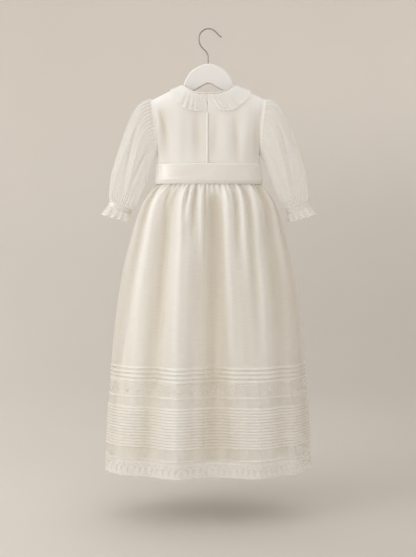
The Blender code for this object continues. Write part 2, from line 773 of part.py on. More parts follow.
def make_sleeves():
    """Full gathered sleeves, their cuff bands and the frills below them."""
    columns = 2 * SLEEVE_SIDE_COLUMNS
    zigzag = np.where(np.arange(columns) % 2 == 0, 1.0, -1.0)[:, None]
    for side_name, sign in (("left", -1.0), ("right", 1.0)):
        outer, inner = [], []
        for number, (points, normals, gather) in enumerate(sleeve_rings()):
            cloth = points + normals * zigzag * gather
            outer.append((-number, np.arange(columns), mirrored(cloth, sign)))
            inner.append((-number, np.arange(columns), mirrored(cloth - normals * SLEEVE_CLOTH, sign)))
        wall("sleeve_" + side_name, outer, inner, "organza", closed=True)
        make_cuff(side_name, sign)


def make_cuff(side_name, sign):
    """One cuff band and its frill."""
    axis = ring_axis(CUFF_OUTER, CUFF_INNER)
    columns = 2 * SLEEVE_SIDE_COLUMNS
    ring = slanted_ring(CUFF_OUTER, CUFF_INNER, CUFF_HALF_DEPTH, columns)
    normals = ring_normals(ring, axis)
    skins = []
    for inset in (0.0, BAND_CLOTH):
        ends = [ring - normals * inset + axis * along for along in (0.0, CUFF_HEIGHT)]
        skins.append([(-n, np.arange(columns), mirrored(end, sign)) for n, end in enumerate(ends)])
    wall("cuff_" + side_name, skins[0], skins[1], "satin", closed=True)

    columns = FRILL_WAVES * COLUMNS_A_WAVE
    start = slanted_ring(CUFF_OUTER, CUFF_INNER, CUFF_HALF_DEPTH - FRILL_INSET, columns)
    start = start + axis * (CUFF_HEIGHT + SEAM)
    end = slanted_ring(FRILL_OUTER, FRILL_INNER, FRILL_HALF_DEPTH, columns)
    wave = np.sin(np.arange(columns) * 2 * math.pi / COLUMNS_A_WAVE)[:, None]
    skins = ([], [])
    for number, share in enumerate(FRILL_ROWS):
        ring = start + (end - start) * share
        normals = ring_normals(ring, axis)
        cloth = ring + normals * wave * FRILL_WAVE_DEPTH * share
        skins[0].append((-number, np.arange(columns), mirrored(cloth, sign)))
        skins[1].append((-number, np.arange(columns), mirrored(cloth - normals * FRILL_CLOTH, sign)))
    wall("cuff_frill_" + side_name, skins[0], skins[1], "lace", closed=True)


def make_sash():
    """The satin sash round the waist, a back and a front length."""
    for name, side in (("sash_back", BACK), ("sash_front", FRONT)):
        places = np.linspace(-1.0, 1.0, 2 * SASH_QUARTER_COLUMNS + 1)
        skins = []
        for stand in (SASH_CLOTH, 0.0):
            rows = []
            for z, half_width, half_depth in SASH:
                flat, normals = oval(places, half_width, half_depth, side)
                flat = keep_side(flat + normals * stand, side)
                rows.append((z, places, np.column_stack((flat, np.full(len(places), z)))))
            skins.append(rows)
        wall(name, skins[0], skins[1], "satin")


def make_hanger():
    """The flat wooden hanger inside the shoulders, cut from one board."""
    shoulder = [(x, float(ridge(x)) - HANGER_DROP) for x in HANGER_SHOULDER]
    right = list(HANGER_HUMP) + shoulder + list(HANGER_END) + list(HANGER_UNDER)
    left = [(-x, z) for x, z in reversed(right[1:-1])]
    outline = right + left
    vertices = [(x * METRE, y * METRE / 2, z * METRE) for y in (-HANGER_THICKNESS, HANGER_THICKNESS)
                for x, z in outline]
    count = len(outline)
    faces = [tuple(range(count)), tuple(range(count, 2 * count))]
    faces += [(n, (n + 1) % count, count + (n + 1) % count, count + n) for n in range(count)]
    board = add_mesh("hanger", vertices, faces, "painted_wood")
    edges = board.modifiers.new("soft_edges", "BEVEL")
    edges.width = HANGER_ROUNDING * METRE
    edges.segments = 1
    edges.limit_method = "ANGLE"
    edges.angle_limit = math.radians(60)
    return board


def make_hook():
    """The bent wire hook standing on the hanger's hump."""
    route = np.array([(x, 0.0, z) for x, z in HOOK_ROUTE])
    ends = np.concatenate((2 * route[:1] - route[1:2], route, 2 * route[-1:] - route[-2:-1]))
    points = []
    for number in range(1, len(ends) - 2):
        before, start, end, after = ends[number - 1:number + 3]
        for step in range(HOOK_STEPS):
            t = step / HOOK_STEPS
            points.append(0.5 * (2 * start + (end - before) * t
                                 + (2 * before - 5 * start + 4 * end - after) * t ** 2
                                 + (3 * start - before - 3 * end + after) * t ** 3))
    points.append(route[-1])
    tube("hook", points, HOOK_RADIUS, 2, "hook_wire")


def main():
    """Builds every piece of the gown and its hanger."""
    make_bodice()
    make_skirt()
    make_lining()
    make_sleeves()
    make_sash()
    make_placket()
    make_collar()
    make_binding()
    make_hanger()
    make_hook()


for leftover in list(bpy.data.objects):
    bpy.data.objects.remove(leftover, do_unlink=True)
COLLECTION = bpy.data.collections.new("christening_gown")
bpy.context.scene.collection.children.link(COLLECTION)
main()
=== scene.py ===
"""Looks of a christening gown on its hanger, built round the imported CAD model.

Sizes are in millimetres, as in the part's source, and become metres when a mesh is made.
The gown's back, with its opening and placket, faces -Y. A place across a panel runs from
-1 at the left side seam, through 0 at the centre line, to 1 at the right side seam. Each
cloth piece is a thin shell on the form of the solid that it replaces.
"""

import math

import bpy
import numpy as np
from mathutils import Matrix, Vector


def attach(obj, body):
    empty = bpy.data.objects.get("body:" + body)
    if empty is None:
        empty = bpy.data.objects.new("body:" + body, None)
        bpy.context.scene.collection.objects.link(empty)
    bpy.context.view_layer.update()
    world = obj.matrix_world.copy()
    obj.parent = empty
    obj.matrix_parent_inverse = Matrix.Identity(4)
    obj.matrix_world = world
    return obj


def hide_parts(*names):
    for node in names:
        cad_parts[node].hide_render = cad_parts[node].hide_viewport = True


bl_info = {
    "name": "Christening gown",
    "version": (1, 0, 0),
    "blender": (4, 5, 0),
    "location": "View3D > Sidebar > Gown",
    "description": "Dresses the frame of a christening gown on a hanger",
    "category": "Add Mesh",
}

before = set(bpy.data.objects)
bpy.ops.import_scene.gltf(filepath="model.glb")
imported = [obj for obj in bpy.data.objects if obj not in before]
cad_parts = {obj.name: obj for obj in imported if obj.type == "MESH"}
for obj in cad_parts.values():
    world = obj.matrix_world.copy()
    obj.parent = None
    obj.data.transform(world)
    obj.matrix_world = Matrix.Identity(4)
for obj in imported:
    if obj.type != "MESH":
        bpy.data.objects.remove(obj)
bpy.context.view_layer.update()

METRE = 0.001
SEAM = 0.3
BACK = -1.0
FRONT = 1.0
SIDES = (("left", -1.0), ("right", 1.0))
PANELS = (("front", FRONT, -1.0, 1.0), ("back_left", BACK, -1.0, 0.0), ("back_right", BACK, 0.0, 1.0))

# Heights of the horizontal seams, edges and tucks.
WAIST_SEAM = -316.0
SKIRT_END = -741.5
INSERTION_END = -772.7
TUCKED_END = -905.0
HEM = -941.0
LINING_HEM = -911.0
UPPER_TUCKS = 4
UPPER_TUCK_FIRST = -712.0
UPPER_TUCK_PITCH = 9.1
LOWER_TUCKS = 14
LOWER_TUCK_FIRST = -797.0
LOWER_TUCK_PITCH = 6.32

# Rings round the gown are blunt ovals of this power, usually this much wider than deep.
OVAL_POWER = 2.4
OVAL_SHAPE = 2.4
CENTRE_BACK_SKIRT = -5.5
CENTRE_BACK_BODICE = -2.5

# The skirt's rings.
SKIRT_COLUMNS = ("z", "half_width", "half_depth")
SKIRT = (
    (-316.0, 112.0, 44.6),
    (-326.4, 113.2, 45.6),
    (-336.0, 122.0, 50.0),
    (-346.0, 130.0, 54.0),
    (-366.5, 144.0, 61.0),
    (-404.0, 158.0, 67.5),
    (-445.0, 168.5, 72.0),
    (-479.0, 177.5, 75.0),
    (-520.0, 186.5, 78.0),
    (-568.0, 194.5, 80.5),
    (-616.0, 201.0, 82.5),
    (-665.0, 206.5, 84.5),
    (-698.0, 209.5, 86.0),
    (-760.0, 213.5, 88.5),
    (-793.0, 217.0, 89.5),
    (-844.0, 220.5, 91.5),
    (-898.0, 223.5, 93.5),
    (-950.0, 225.0, 95.3),
)

# The lining hangs a little to the left inside the skirt.
LINING_COLUMNS = ("z", "half_width", "half_depth", "shift")
LINING = (
    (-316.0, 109.8, 42.5, 0.0),
    (-330.0, 110.2, 42.3, 0.0),
    (-345.0, 115.0, 44.5, -1.5),
    (-366.5, 121.0, 47.5, -3.0),
    (-410.0, 130.0, 51.0, -4.5),
    (-448.0, 137.0, 54.0, -5.0),
    (-505.0, 147.5, 58.0, -6.8),
    (-600.0, 158.5, 63.0, -13.0),
    (-698.0, 169.0, 67.0, -18.5),
    (-793.0, 179.0, 70.0, -22.0),
    (-911.0, 186.0, 74.0, -21.5),
)
LINING_FOLDS = 9
LINING_FOLD_DEPTH = 3.0
LINING_CLEAR = 3.0

# The embroidery's thread is this much darker than the sewing thread.
LACE_THREAD = 0.92

# Large soft folds of the skirt: where the crest or valley is, how broad, how far out.
FOLD_COLUMNS = ("place", "breadth", "at_hip", "at_hem")
BACK_FOLDS = (
    (-0.88, 0.09, 4.0, 6.0),
    (-0.71, 0.08, 5.0, 4.0),
    (-0.49, 0.08, -5.0, -5.0),
    (-0.25, 0.13, 6.0, 11.0),
    (0.07, 0.13, -6.0, -9.0),
    (0.42, 0.14, 5.0, 10.0),
    (0.60, 0.07, -4.0, -3.0),
    (0.71, 0.08, 4.0, 4.0),
    (0.87, 0.07, -4.0, -6.0),
)
FRONT_FOLDS = (
    (-0.86, 0.09, 4.0, 6.0),
    (-0.64, 0.10, -5.0, -7.0),
    (-0.38, 0.12, 5.0, 10.0),
    (-0.10, 0.10, -4.0, -7.0),
    (0.14, 0.11, 5.0, 8.0),
    (0.36, 0.09, -4.0, -6.0),
    (0.58, 0.12, 5.0, 9.0),
    (0.84, 0.09, -4.0, -5.0),
)
FOLD_START = -330.0
FOLD_HIP = -450.0

# Folds that fall from the gathered waist: the place of each at the waist, its breadth,
# its height over the cloth, or depth under it, how far below the waist it starts, how
# long it is, and how far it drifts aside as the skirt widens.
FALL_COLUMNS = ("place", "breadth", "height", "start", "length", "drift")
BACK_FALLS = (
    (-0.930, 0.030, -3.5, 0.0, 150.0, 0.03),
    (-0.860, 0.032, 3.5, 0.0, 240.0, 0.03),
    (-0.790, 0.032, -4.5, 0.0, 320.0, 0.05),
    (-0.700, 0.050, 6.0, 0.0, 620.0, 0.10),
    (-0.555, 0.042, -6.5, 0.0, 600.0, 0.13),
    (-0.530, 0.022, 3.5, 0.0, 90.0, 0.08),
    (-0.460, 0.022, -3.5, 0.0, 80.0, 0.07),
    (-0.350, 0.048, 6.0, 0.0, 600.0, 0.10),
    (-0.285, 0.022, -4.5, 0.0, 100.0, 0.04),
    (-0.225, 0.026, 4.0, 0.0, 110.0, 0.03),
    (-0.185, 0.070, 5.5, 90.0, 360.0, 0.00),
    (-0.155, 0.024, -5.0, 0.0, 140.0, 0.01),
    (-0.070, 0.032, 5.0, 0.0, 230.0, 0.03),
    (-0.006, 0.012, -3.5, 0.0, 170.0, 0.00),
    (0.105, 0.072, -8.0, 15.0, 640.0, 0.00),
    (0.270, 0.048, 7.0, 0.0, 600.0, -0.06),
    (0.400, 0.026, -5.0, 0.0, 200.0, -0.10),
    (0.470, 0.030, 4.5, 0.0, 230.0, -0.09),
    (0.550, 0.040, -5.0, 0.0, 430.0, -0.11),
    (0.660, 0.048, 5.0, 0.0, 560.0, -0.15),
    (0.790, 0.044, -6.0, 0.0, 460.0, -0.13),
    (0.880, 0.034, 4.0, 0.0, 260.0, -0.12),
    (0.950, 0.028, -3.5, 0.0, 160.0, -0.10),
)
FRONT_FALLS = (
    (-0.940, 0.028, -3.0, 0.0, 140.0, 0.04),
    (-0.850, 0.034, 4.5, 0.0, 300.0, 0.06),
    (-0.740, 0.038, -5.5, 0.0, 460.0, 0.08),
    (-0.640, 0.044, 6.0, 0.0, 540.0, 0.07),
    (-0.545, 0.026, -4.5, 0.0, 160.0, 0.06),
    (-0.480, 0.028, 4.0, 0.0, 210.0, 0.05),
    (-0.400, 0.044, -6.5, 0.0, 590.0, 0.03),
    (-0.290, 0.046, 6.0, 0.0, 500.0, 0.03),
    (-0.215, 0.022, -4.0, 0.0, 100.0, 0.02),
    (-0.155, 0.026, 4.5, 0.0, 180.0, 0.01),
    (-0.050, 0.060, -6.5, 10.0, 600.0, 0.00),
    (0.050, 0.030, 4.5, 0.0, 140.0, -0.01),
    (0.110, 0.024, -3.5, 0.0, 90.0, -0.02),
    (0.190, 0.050, 6.5, 0.0, 610.0, -0.02),
    (0.300, 0.040, -6.0, 0.0, 420.0, -0.04),
    (0.400, 0.036, 5.0, 0.0, 330.0, -0.05),
    (0.480, 0.026, -4.5, 0.0, 150.0, -0.06),
    (0.570, 0.048, 6.0, 0.0, 520.0, -0.07),
    (0.690, 0.044, -6.0, 0.0, 500.0, -0.09),
    (0.800, 0.036, 4.5, 0.0, 280.0, -0.08),
    (0.900, 0.030, -4.0, 0.0, 200.0, -0.06),
)
PUCKERS = 26

# One tuck in section: height over its folded edge, stand off the cloth, plies of cloth.
TUCK_COLUMNS = ("above_edge", "stand_share", "plies")
TUCK = (
    (4.6, 0.02, 1.0),
    (4.2, 0.16, 1.4),
    (3.0, 0.46, 1.5),
    (1.4, 0.84, 1.7),
    (0.35, 1.0, 2.4),
    (0.0, 0.93, 2.4),
    (-0.30, 0.40, 1.6),
    (-0.70, 0.0, 1.0),
)

# The bodice: its side line, and its half depth on the centre line.
BODICE_END = WAIST_SEAM + SEAM
BODICE_COLUMNS = ("z", "side", "middle")
BODICE = (
    (-89.0, 118.0, 26.5),
    (-117.0, 118.0, 26.5),
    (-147.0, 118.0, 28.5),
    (-168.0, 112.5, 31.0),
    (-200.0, 108.5, 33.0),
    (-236.0, 108.0, 36.0),
    (-263.0, 109.5, 38.5),
    (-289.0, 111.0, 42.0),
    (BODICE_END, 112.3, 44.7),
)
ARMPIT = -263.0
ARMHOLE_DEPTH = 27.0
ARMHOLE_LEVEL = -205.0
SHOULDER_END = 118.0
RIDGE_TOP = -89.0
RIDGE_FALL = 0.4918
ARCH_HEIGHT = 55.0
NECK_SHARE = 0.5
NECK_COLUMNS = ("across", "back", "front")
NECKLINE = (
    (0.0, -138.5, -151.0),
    (15.0, -138.2, -150.0),
    (34.0, -133.5, -142.0),
    (50.0, -123.8, -127.5),
    (59.0, -118.016, -118.016),
)

SLIT_HALF_WIDTH = 0.9

# Soft creases of the bodice: middle, length and breadth of each, its lean and its height.
CREASE_COLUMNS = ("x", "z", "length", "breadth", "lean", "height")
BODICE_CREASES = {
    BACK: (
        (-92.0, -220.0, 95.0, 9.0, 5.0, -2.2),
        (-60.0, -222.0, 110.0, 13.0, -2.0, 2.0),
        (-23.0, -225.0, 95.0, 10.0, 2.0, -2.1),
        (13.0, -235.0, 80.0, 8.0, -3.0, -1.3),
        (39.0, -225.0, 95.0, 10.0, 3.0, 1.3),
        (58.0, -230.0, 85.0, 8.0, 4.0, -1.9),
        (79.0, -225.0, 85.0, 9.0, -5.0, 1.8),
        (101.0, -225.0, 80.0, 8.0, -3.0, -1.8),
        (-97.0, -190.0, 55.0, 5.0, 16.0, -1.3),
    ),
    FRONT: (
        (-86.0, -230.0, 80.0, 8.0, 12.0, 1.6),
        (-60.0, -245.0, 80.0, 8.0, -5.0, -1.5),
        (-30.0, -235.0, 90.0, 9.0, 4.0, 1.4),
        (4.0, -250.0, 60.0, 7.0, -3.0, -1.3),
        (34.0, -230.0, 90.0, 9.0, 5.0, 1.3),
        (60.0, -240.0, 85.0, 7.0, -6.0, -1.5),
        (86.0, -228.0, 80.0, 8.0, -12.0, 1.6),
        (98.0, -192.0, 55.0, 5.0, -16.0, -1.3),
        (-98.0, -192.0, 55.0, 5.0, 16.0, -1.3),
    ),
}

# Sleeve stations: the outer and inner ends of each ring and its half depth.
SLEEVE_COLUMNS = ("outer_x", "outer_z", "inner_x", "inner_z", "half_depth")
SLEEVE = (
    (126.0, -146.5, 111.8, -265.5, 30.0),
    (140.0, -152.5, 114.5, -269.5, 33.5),
    (156.0, -167.0, 117.5, -275.0, 36.5),
    (174.0, -202.0, 122.0, -286.0, 38.0),
    (186.5, -238.0, 127.0, -301.0, 37.0),
    (200.5, -279.0, 133.5, -322.5, 34.0),
    (209.5, -314.0, 140.5, -341.0, 29.5),
    (212.5, -344.0, 151.0, -362.5, 24.0),
    (211.0, -360.9, 164.2, -380.0, 19.0),
)
# Long soft creases of a sleeve: where they lie round it and along it, how broad, how high.
SLEEVE_CREASE_COLUMNS = ("round", "along", "reach", "breadth", "height", "twist")
SLEEVE_CREASES = (
    (0.05, 0.45, 0.30, 0.018, -2.6, 0.02),
    (0.12, 0.60, 0.34, 0.022, 2.4, -0.03),
    (0.19, 0.42, 0.28, 0.020, -3.0, 0.03),
    (0.27, 0.55, 0.36, 0.024, 2.8, 0.02),
    (0.35, 0.48, 0.26, 0.020, -2.8, -0.03),
    (0.43, 0.62, 0.28, 0.022, 2.2, 0.02),
    (0.56, 0.50, 0.30, 0.020, -2.4, -0.02),
    (0.63, 0.60, 0.30, 0.022, 2.6, 0.03),
    (0.71, 0.44, 0.30, 0.020, -3.0, 0.02),
    (0.79, 0.58, 0.34, 0.024, 2.6, -0.02),
    (0.88, 0.50, 0.28, 0.018, -2.4, 0.03),
    (0.95, 0.62, 0.26, 0.018, 2.0, -0.01),
)
HEAD_GATHERS = 38
HEAD_GATHER_DEPTH = 1.5
WRIST_GATHERS = 26
WRIST_GATHER_DEPTH = 1.5
CUFF_OUTER = (211.4, -361.2)
CUFF_INNER = (164.3, -380.5)
CUFF_HALF_DEPTH = 19.4
CUFF_HEIGHT = 8.5
FRILL_OUTER = (227.5, -388.5)
FRILL_INNER = (170.5, -404.5)
FRILL_HALF_DEPTH = 27.0
FRILL_WAVES = 10

# Collar halves, from centre back over the shoulder to centre front: where each row
# leaves the neckline, and its outer edge.
COLLAR_COLUMNS = ("along", "neck_x", "edge_x", "edge_z")
COLLARS = {
    "right": (
        (0.00, 2.0, 21.0, -168.5),
        (0.10, 14.0, 31.0, -173.0),
        (0.22, 28.0, 50.0, -170.5),
        (0.33, 42.0, 68.5, -159.0),
        (0.41, 52.0, 83.0, -143.5),
        (0.46, 57.0, 86.5, -135.0),
        (0.50, 59.0, 87.5, -132.1),
        (0.54, 57.0, 86.5, -135.5),
        (0.59, 52.0, 83.0, -145.5),
        (0.67, 42.0, 69.0, -166.0),
        (0.78, 28.0, 50.0, -181.0),
        (0.90, 14.0, 31.0, -185.0),
        (1.00, 3.0, 19.0, -184.0),
    ),
    "left": (
        (0.00, 19.0, 18.5, -175.0),
        (0.10, 27.0, 31.0, -172.0),
        (0.22, 36.0, 47.0, -168.5),
        (0.33, 46.0, 61.0, -158.5),
        (0.41, 53.0, 74.0, -143.5),
        (0.46, 57.0, 78.5, -131.5),
        (0.50, 59.0, 79.5, -128.15),
        (0.54, 57.0, 79.5, -132.0),
        (0.59, 52.0, 77.0, -144.0),
        (0.67, 42.0, 66.0, -165.0),
        (0.78, 28.0, 49.0, -181.0),
        (0.90, 14.0, 31.0, -185.0),
        (1.00, 3.0, 19.0, -184.0),
    ),
}
COLLAR_WAVES = 10
COLLAR_LIFT = 1.2

# The neck binding, the placket, the sash.
BINDING_RADIUS = 1.6
BINDING_RISE = 2.3
BINDING_OPENING = 1.4
BODICE_CLOTH = 2.0
PLACKET_LEFT = -16.5
PLACKET_RIGHT = -3.4
PLACKET_TOP = -139.3
PLACKET_END = -175.6
SASH_COLUMNS = ("z", "half_width", "half_depth")
SASH = (
    (-282.0, 111.6, 42.3),
    (-297.0, 112.5, 44.0),
    (-312.0, 113.3, 45.6),
    (-325.7, 114.7, 47.0),
)
SASH_CLOTH = 1.6

# The hanger's outline, right half from the top of its hump, and its wire hook.
HANGER_THICKNESS = 12.0
HANGER_DROP = 3.7
HANGER_SHOULDER = (61.0, 104.0)
HANGER_HUMP = ((0.0, -71.7), (9.5, -73.2), (18.5, -76.7), (27.0, -80.7), (34.6, -85.7),
               (40.2, -91.5), (44.8, -98.9), (50.4, -108.5), (52.0, -114.0), (52.3, -118.5),
               (53.4, -122.9))
HANGER_END = ((107.5, -148.5), (109.4, -154.0), (108.6, -160.5), (105.5, -165.5), (101.0, -167.0))
HANGER_UNDER = ((33.0, -129.5), (14.0, -119.0), (6.0, -114.5), (0.0, -112.8))
HANGER_ROUNDING = 2.6
HOOK_RADIUS = 1.5
HOOK_ROUTE = ((-1.0, -71.4), (-1.0, -62.0), (-1.6, -53.5), (-5.0, -46.5), (-11.0, -40.5),
              (-16.4, -34.0), (-19.4, -26.5), (-20.0, -18.5), (-18.6, -11.4), (-14.6, -4.9),
              (-8.2, -0.3), (0.0, 1.5), (7.8, -0.1), (14.2, -4.2), (19.2, -9.2), (23.4, -13.6),
              (28.0, -16.6))

# The photograph's camera, in metres and degrees.
CAMERA_PLACE = (-0.001, -1.94, -0.3633)
CAMERA_PITCH = -4.86
CAMERA_LENS = 58.2


class GownSizes(bpy.types.PropertyGroup):
    """Sizes of the gown's finer forms, in millimetres or as a share of the usual depth."""

    tuck_stand: bpy.props.FloatProperty(
        name="Tuck stand", description="How far a tuck's folded edge stands off the cloth, in mm",
        default=1.45, min=0.0, max=3.0)
    gather_depth: bpy.props.FloatProperty(
        name="Gather depth", description="Depth of the gathers below the waist",
        default=1.0, min=0.0, max=1.5, subtype="FACTOR")
    crease_depth: bpy.props.FloatProperty(
        name="Crease depth", description="Depth of the soft creases in bodice and sleeves",
        default=1.0, min=0.0, max=2.0, subtype="FACTOR")
    collar_wave: bpy.props.FloatProperty(
        name="Collar frill", description="How far the collar's frill waves out, in mm",
        default=3.2, min=0.0, max=6.0)
    frill_wave: bpy.props.FloatProperty(
        name="Cuff frill", description="How far the cuff frill waves in and out, in mm",
        default=2.6, min=0.0, max=5.0)
    stitch_pitch: bpy.props.FloatProperty(
        name="Stitch length", description="Distance from one machine stitch to the next, in mm",
        default=2.6, min=1.5, max=5.0)
    thread: bpy.props.FloatProperty(
        name="Embroidery thread", description="Radius of the corded embroidery thread, in mm",
        default=0.3, min=0.15, max=0.8)


class GownColours(bpy.types.PropertyGroup):
    """Colours of the gown's cloths and of its hanger."""

    organza: bpy.props.FloatVectorProperty(
        name="Organza", description="Sheer cloth of skirt, sleeves and collar",
        default=(0.965, 0.96, 0.935), min=0.0, max=1.0, size=3, subtype="COLOR")
    bodice: bpy.props.FloatVectorProperty(
        name="Bodice", description="Organza over its lining",
        default=(0.845, 0.835, 0.81), min=0.0, max=1.0, size=3, subtype="COLOR")
    lining: bpy.props.FloatVectorProperty(
        name="Lining", description="Plain lining inside the skirt",
        default=(0.91, 0.88, 0.81), min=0.0, max=1.0, size=3, subtype="COLOR")
    lace: bpy.props.FloatVectorProperty(
        name="Lace", description="Insertion, hem lace and cuff frills",
        default=(0.92, 0.905, 0.857), min=0.0, max=1.0, size=3, subtype="COLOR")
    satin: bpy.props.FloatVectorProperty(
        name="Satin", description="Sash, cuff bands and neck binding",
        default=(0.82, 0.80, 0.755), min=0.0, max=1.0, size=3, subtype="COLOR")
    thread: bpy.props.FloatVectorProperty(
        name="Thread", description="Stitching and embroidery",
        default=(0.94, 0.925, 0.875), min=0.0, max=1.0, size=3, subtype="COLOR")
    paint: bpy.props.FloatVectorProperty(
        name="Hanger paint", description="White paint of the hanger",
        default=(0.88, 0.88, 0.87), min=0.0, max=1.0, size=3, subtype="COLOR")
    wire: bpy.props.FloatVectorProperty(
        name="Hook wire", description="Polished wire of the hook",
        default=(0.36, 0.35, 0.35), min=0.0, max=1.0, size=3, subtype="COLOR")


class StageLook(bpy.types.PropertyGroup):
    """The plain studio round the gown."""

    floor_height: bpy.props.FloatProperty(
        name="Floor height", description="Height of the floor under the gown",
        default=-1.05, unit="LENGTH")
    radius: bpy.props.FloatProperty(
        name="Backdrop radius", description="Distance from the gown to the backdrop's wall",
        default=3.4, min=2.9, unit="LENGTH")
    wall: bpy.props.FloatVectorProperty(
        name="Backdrop colour", description="Pale paint of floor and wall",
        default=(0.65, 0.611, 0.565), min=0.0, max=1.0, size=3, subtype="COLOR")
    key_power: bpy.props.FloatProperty(
        name="Key light", description="Power of the soft light on the left, in watts",
        default=24.0, min=0.0)
    sky: bpy.props.FloatProperty(
        name="Sky light", description="Strength of the pale light from above",
        default=0.99, min=0.0)


def smooth(wanted, knots, values):
    """A cubic through knots. Each slope is the harmonic mean of its neighbours', or
    nothing at a crest, so the curve never overshoots. Values may be whole rows."""
    knots, values = np.asarray(knots, float), np.asarray(values, float)
    if knots[-1] < knots[0]:
        knots, values = knots[::-1], values[::-1]
    extra = (1,) * (values.ndim - 1)
    slopes = np.diff(values, axis=0) / np.diff(knots).reshape((-1,) + extra)
    before, after = slopes[:-1], slopes[1:]
    alike = before * after > 0.0
    middle = np.where(alike, 2.0 * before * after / np.where(alike, before + after, 1.0), 0.0)
    tangents = np.concatenate((slopes[:1], middle, slopes[-1:]))
    wanted = np.clip(np.asarray(wanted, float), knots[0], knots[-1])
    low = np.clip(np.searchsorted(knots, wanted, side="right") - 1, 0, len(knots) - 2)
    width = (knots[low + 1] - knots[low]).reshape(wanted.shape + extra)
    t = (wanted - knots[low]).reshape(wanted.shape + extra) / width
    return ((1 + 2 * t) * (1 - t) ** 2 * values[low] + t * (1 - t) ** 2 * width * tangents[low]
            + t * t * (3 - 2 * t) * values[low + 1] - t * t * (1 - t) * width * tangents[low + 1])


def read(table, columns, name, places):
    """A named column of a table, smoothly between its rows, by the first column."""
    return smooth(places, [row[0] for row in table], [row[columns.index(name)] for row in table])


def ease(value, start, end):
    """Rises softly from 0 at start to 1 at end."""
    t = np.clip((value - start) / (end - start), 0.0, 1.0)
    return t * t * (3.0 - 2.0 * t)


def bell(distance, breadth):
    """A soft bump: 1 in its middle and almost nothing two breadths away."""
    return np.exp(-(distance / breadth) ** 2)


def unit(vectors):
    """Vectors of length one."""
    return vectors / np.maximum(np.linalg.norm(vectors, axis=-1, keepdims=True), 1e-9)


def oval_tables():
    """Points of a quarter oval, evenly spaced by length, from the centre line to the side."""
    angle = np.linspace(0.0, math.pi / 2, 4000)
    across = np.sin(angle) ** (2 / OVAL_POWER)
    deep = np.cos(angle) ** (2 / OVAL_POWER)
    deep[-1] = 0.0
    steps = np.hypot(np.diff(across) * OVAL_SHAPE, np.diff(deep))
    length = np.concatenate(([0.0], np.cumsum(steps)))
    return length / length[-1], across, deep


OVAL_LENGTH, OVAL_ACROSS, OVAL_DEEP = oval_tables()


def oval(places, half_width, half_depth, side):
    """x and y on half an oval ring, moved out by any stand along the outward normal."""
    share = np.abs(places)
    across = np.interp(share, OVAL_LENGTH, OVAL_ACROSS)
    deep = np.interp(share, OVAL_LENGTH, OVAL_DEEP)
    normal_x = np.sign(places) * across ** (OVAL_POWER - 1) / half_width
    normal_y = side * deep ** (OVAL_POWER - 1) / half_depth
    size = np.hypot(normal_x, normal_y)
    return (np.sign(places) * across * half_width, side * deep * half_depth,
            normal_x / size, normal_y / size)


def on_oval(places, z, side, half_width, half_depth, stand):
    """Points of half a ring, with each kept on its own side of the side seams."""
    x, y, out_x, out_y = oval(places, half_width, half_depth, side)
    y = side * np.maximum(side * (y + out_y * stand), SEAM / 2)
    return x + out_x * stand, y, z


def fold_stand(side, places, z):
    """How far the skirt's large folds stand out: bells across, growing towards the hem."""
    table = BACK_FOLDS if side == BACK else FRONT_FOLDS
    grown = ease(-z, -FOLD_START, -FOLD_HIP)
    towards_hem = np.clip((FOLD_HIP - z) / (FOLD_HIP - HEM), 0.0, 1.0)
    stand = sum((at_hip + (at_hem - at_hip) * towards_hem) * bell(places - place, breadth)
                for place, breadth, at_hip, at_hem in table)
    return stand * grown * (1.0 - places ** 8)


def fall_stand(side, places, z):
    """Folds from the waist: bells across that start under the sash, widen as the skirt
    does, drift quickly at first, and fade towards their ends."""
    below = np.maximum(WAIST_SEAM - 6.0 - z, 0.0)
    stand = 0.0
    for place, breadth, height, start, length, drift in (BACK_FALLS if side == BACK else FRONT_FALLS):
        share = (below - start) / length
        middle = place + drift * (1.0 - np.exp(-below / 70.0))
        fade = ease(below, start, start + 22.0 + 0.6 * start) * (1.0 - ease(share, 0.35, 1.0))
        stand = stand + height * fade * bell(places - middle, breadth * (1.0 + 0.35 * np.clip(share, 0.0, 1.0)))
    return stand * bpy.context.scene.gown_sizes.gather_depth


def pucker_stand(side, places, z):
    """Small uneven puckers right under the sash: a sine across whose pitch wanders."""
    below = np.maximum(WAIST_SEAM - 6.0 - z, 0.0)
    turn = math.pi * PUCKERS * places + 1.6 * np.sin(7.0 * places + side) + 0.9 * np.sin(17.0 * places)
    reach = 26.0 + 14.0 * np.sin(11.0 * places + 2.0 * side)
    return 1.5 * np.sin(turn) * ease(below, 0.0, 10.0) * (1.0 - ease(below, 6.0, reach + 12.0))


def ripple_stand(side, places, z):
    """Faint upright ripples of thin cloth: three sines of unlike lengths, slowly leaning."""
    lean = (z + 600.0) / 900.0
    shift = 1.3 if side == BACK else 4.1
    waves = (np.sin(23.0 * places + 2.0 * lean + shift)
             + 0.7 * np.sin(41.0 * places - 3.0 * lean + 2.0 * shift)
             + 0.5 * np.sin(67.0 * places + 4.0 * lean + 5.0 * shift))
    return 0.5 * waves * ease(-z, -WAIST_SEAM, 380.0) * (1.0 - places ** 8)


def skirt_cloth(side, places, z, stand=0.0):
    """Points of the skirt's cloth: ovals growing downwards, plus folds, gathers and ripples."""
    places, z = np.broadcast_arrays(np.asarray(places, float), np.asarray(z, float))
    out = fold_stand(side, places, z) + fall_stand(side, places, z) * (1.0 - places ** 8)
    out = out + pucker_stand(side, places, z)
    out = out + ripple_stand(side, places, z) + stand
    half_width = read(SKIRT, SKIRT_COLUMNS, "half_width", z)
    half_depth = read(SKIRT, SKIRT_COLUMNS, "half_depth", z)
    x, y, z = on_oval(places, z, side, half_width, half_depth, out)
    if side == BACK:
        x = x + CENTRE_BACK_SKIRT * (1.0 - np.abs(places)) ** 2
    return np.stack((x, y, z), axis=-1)


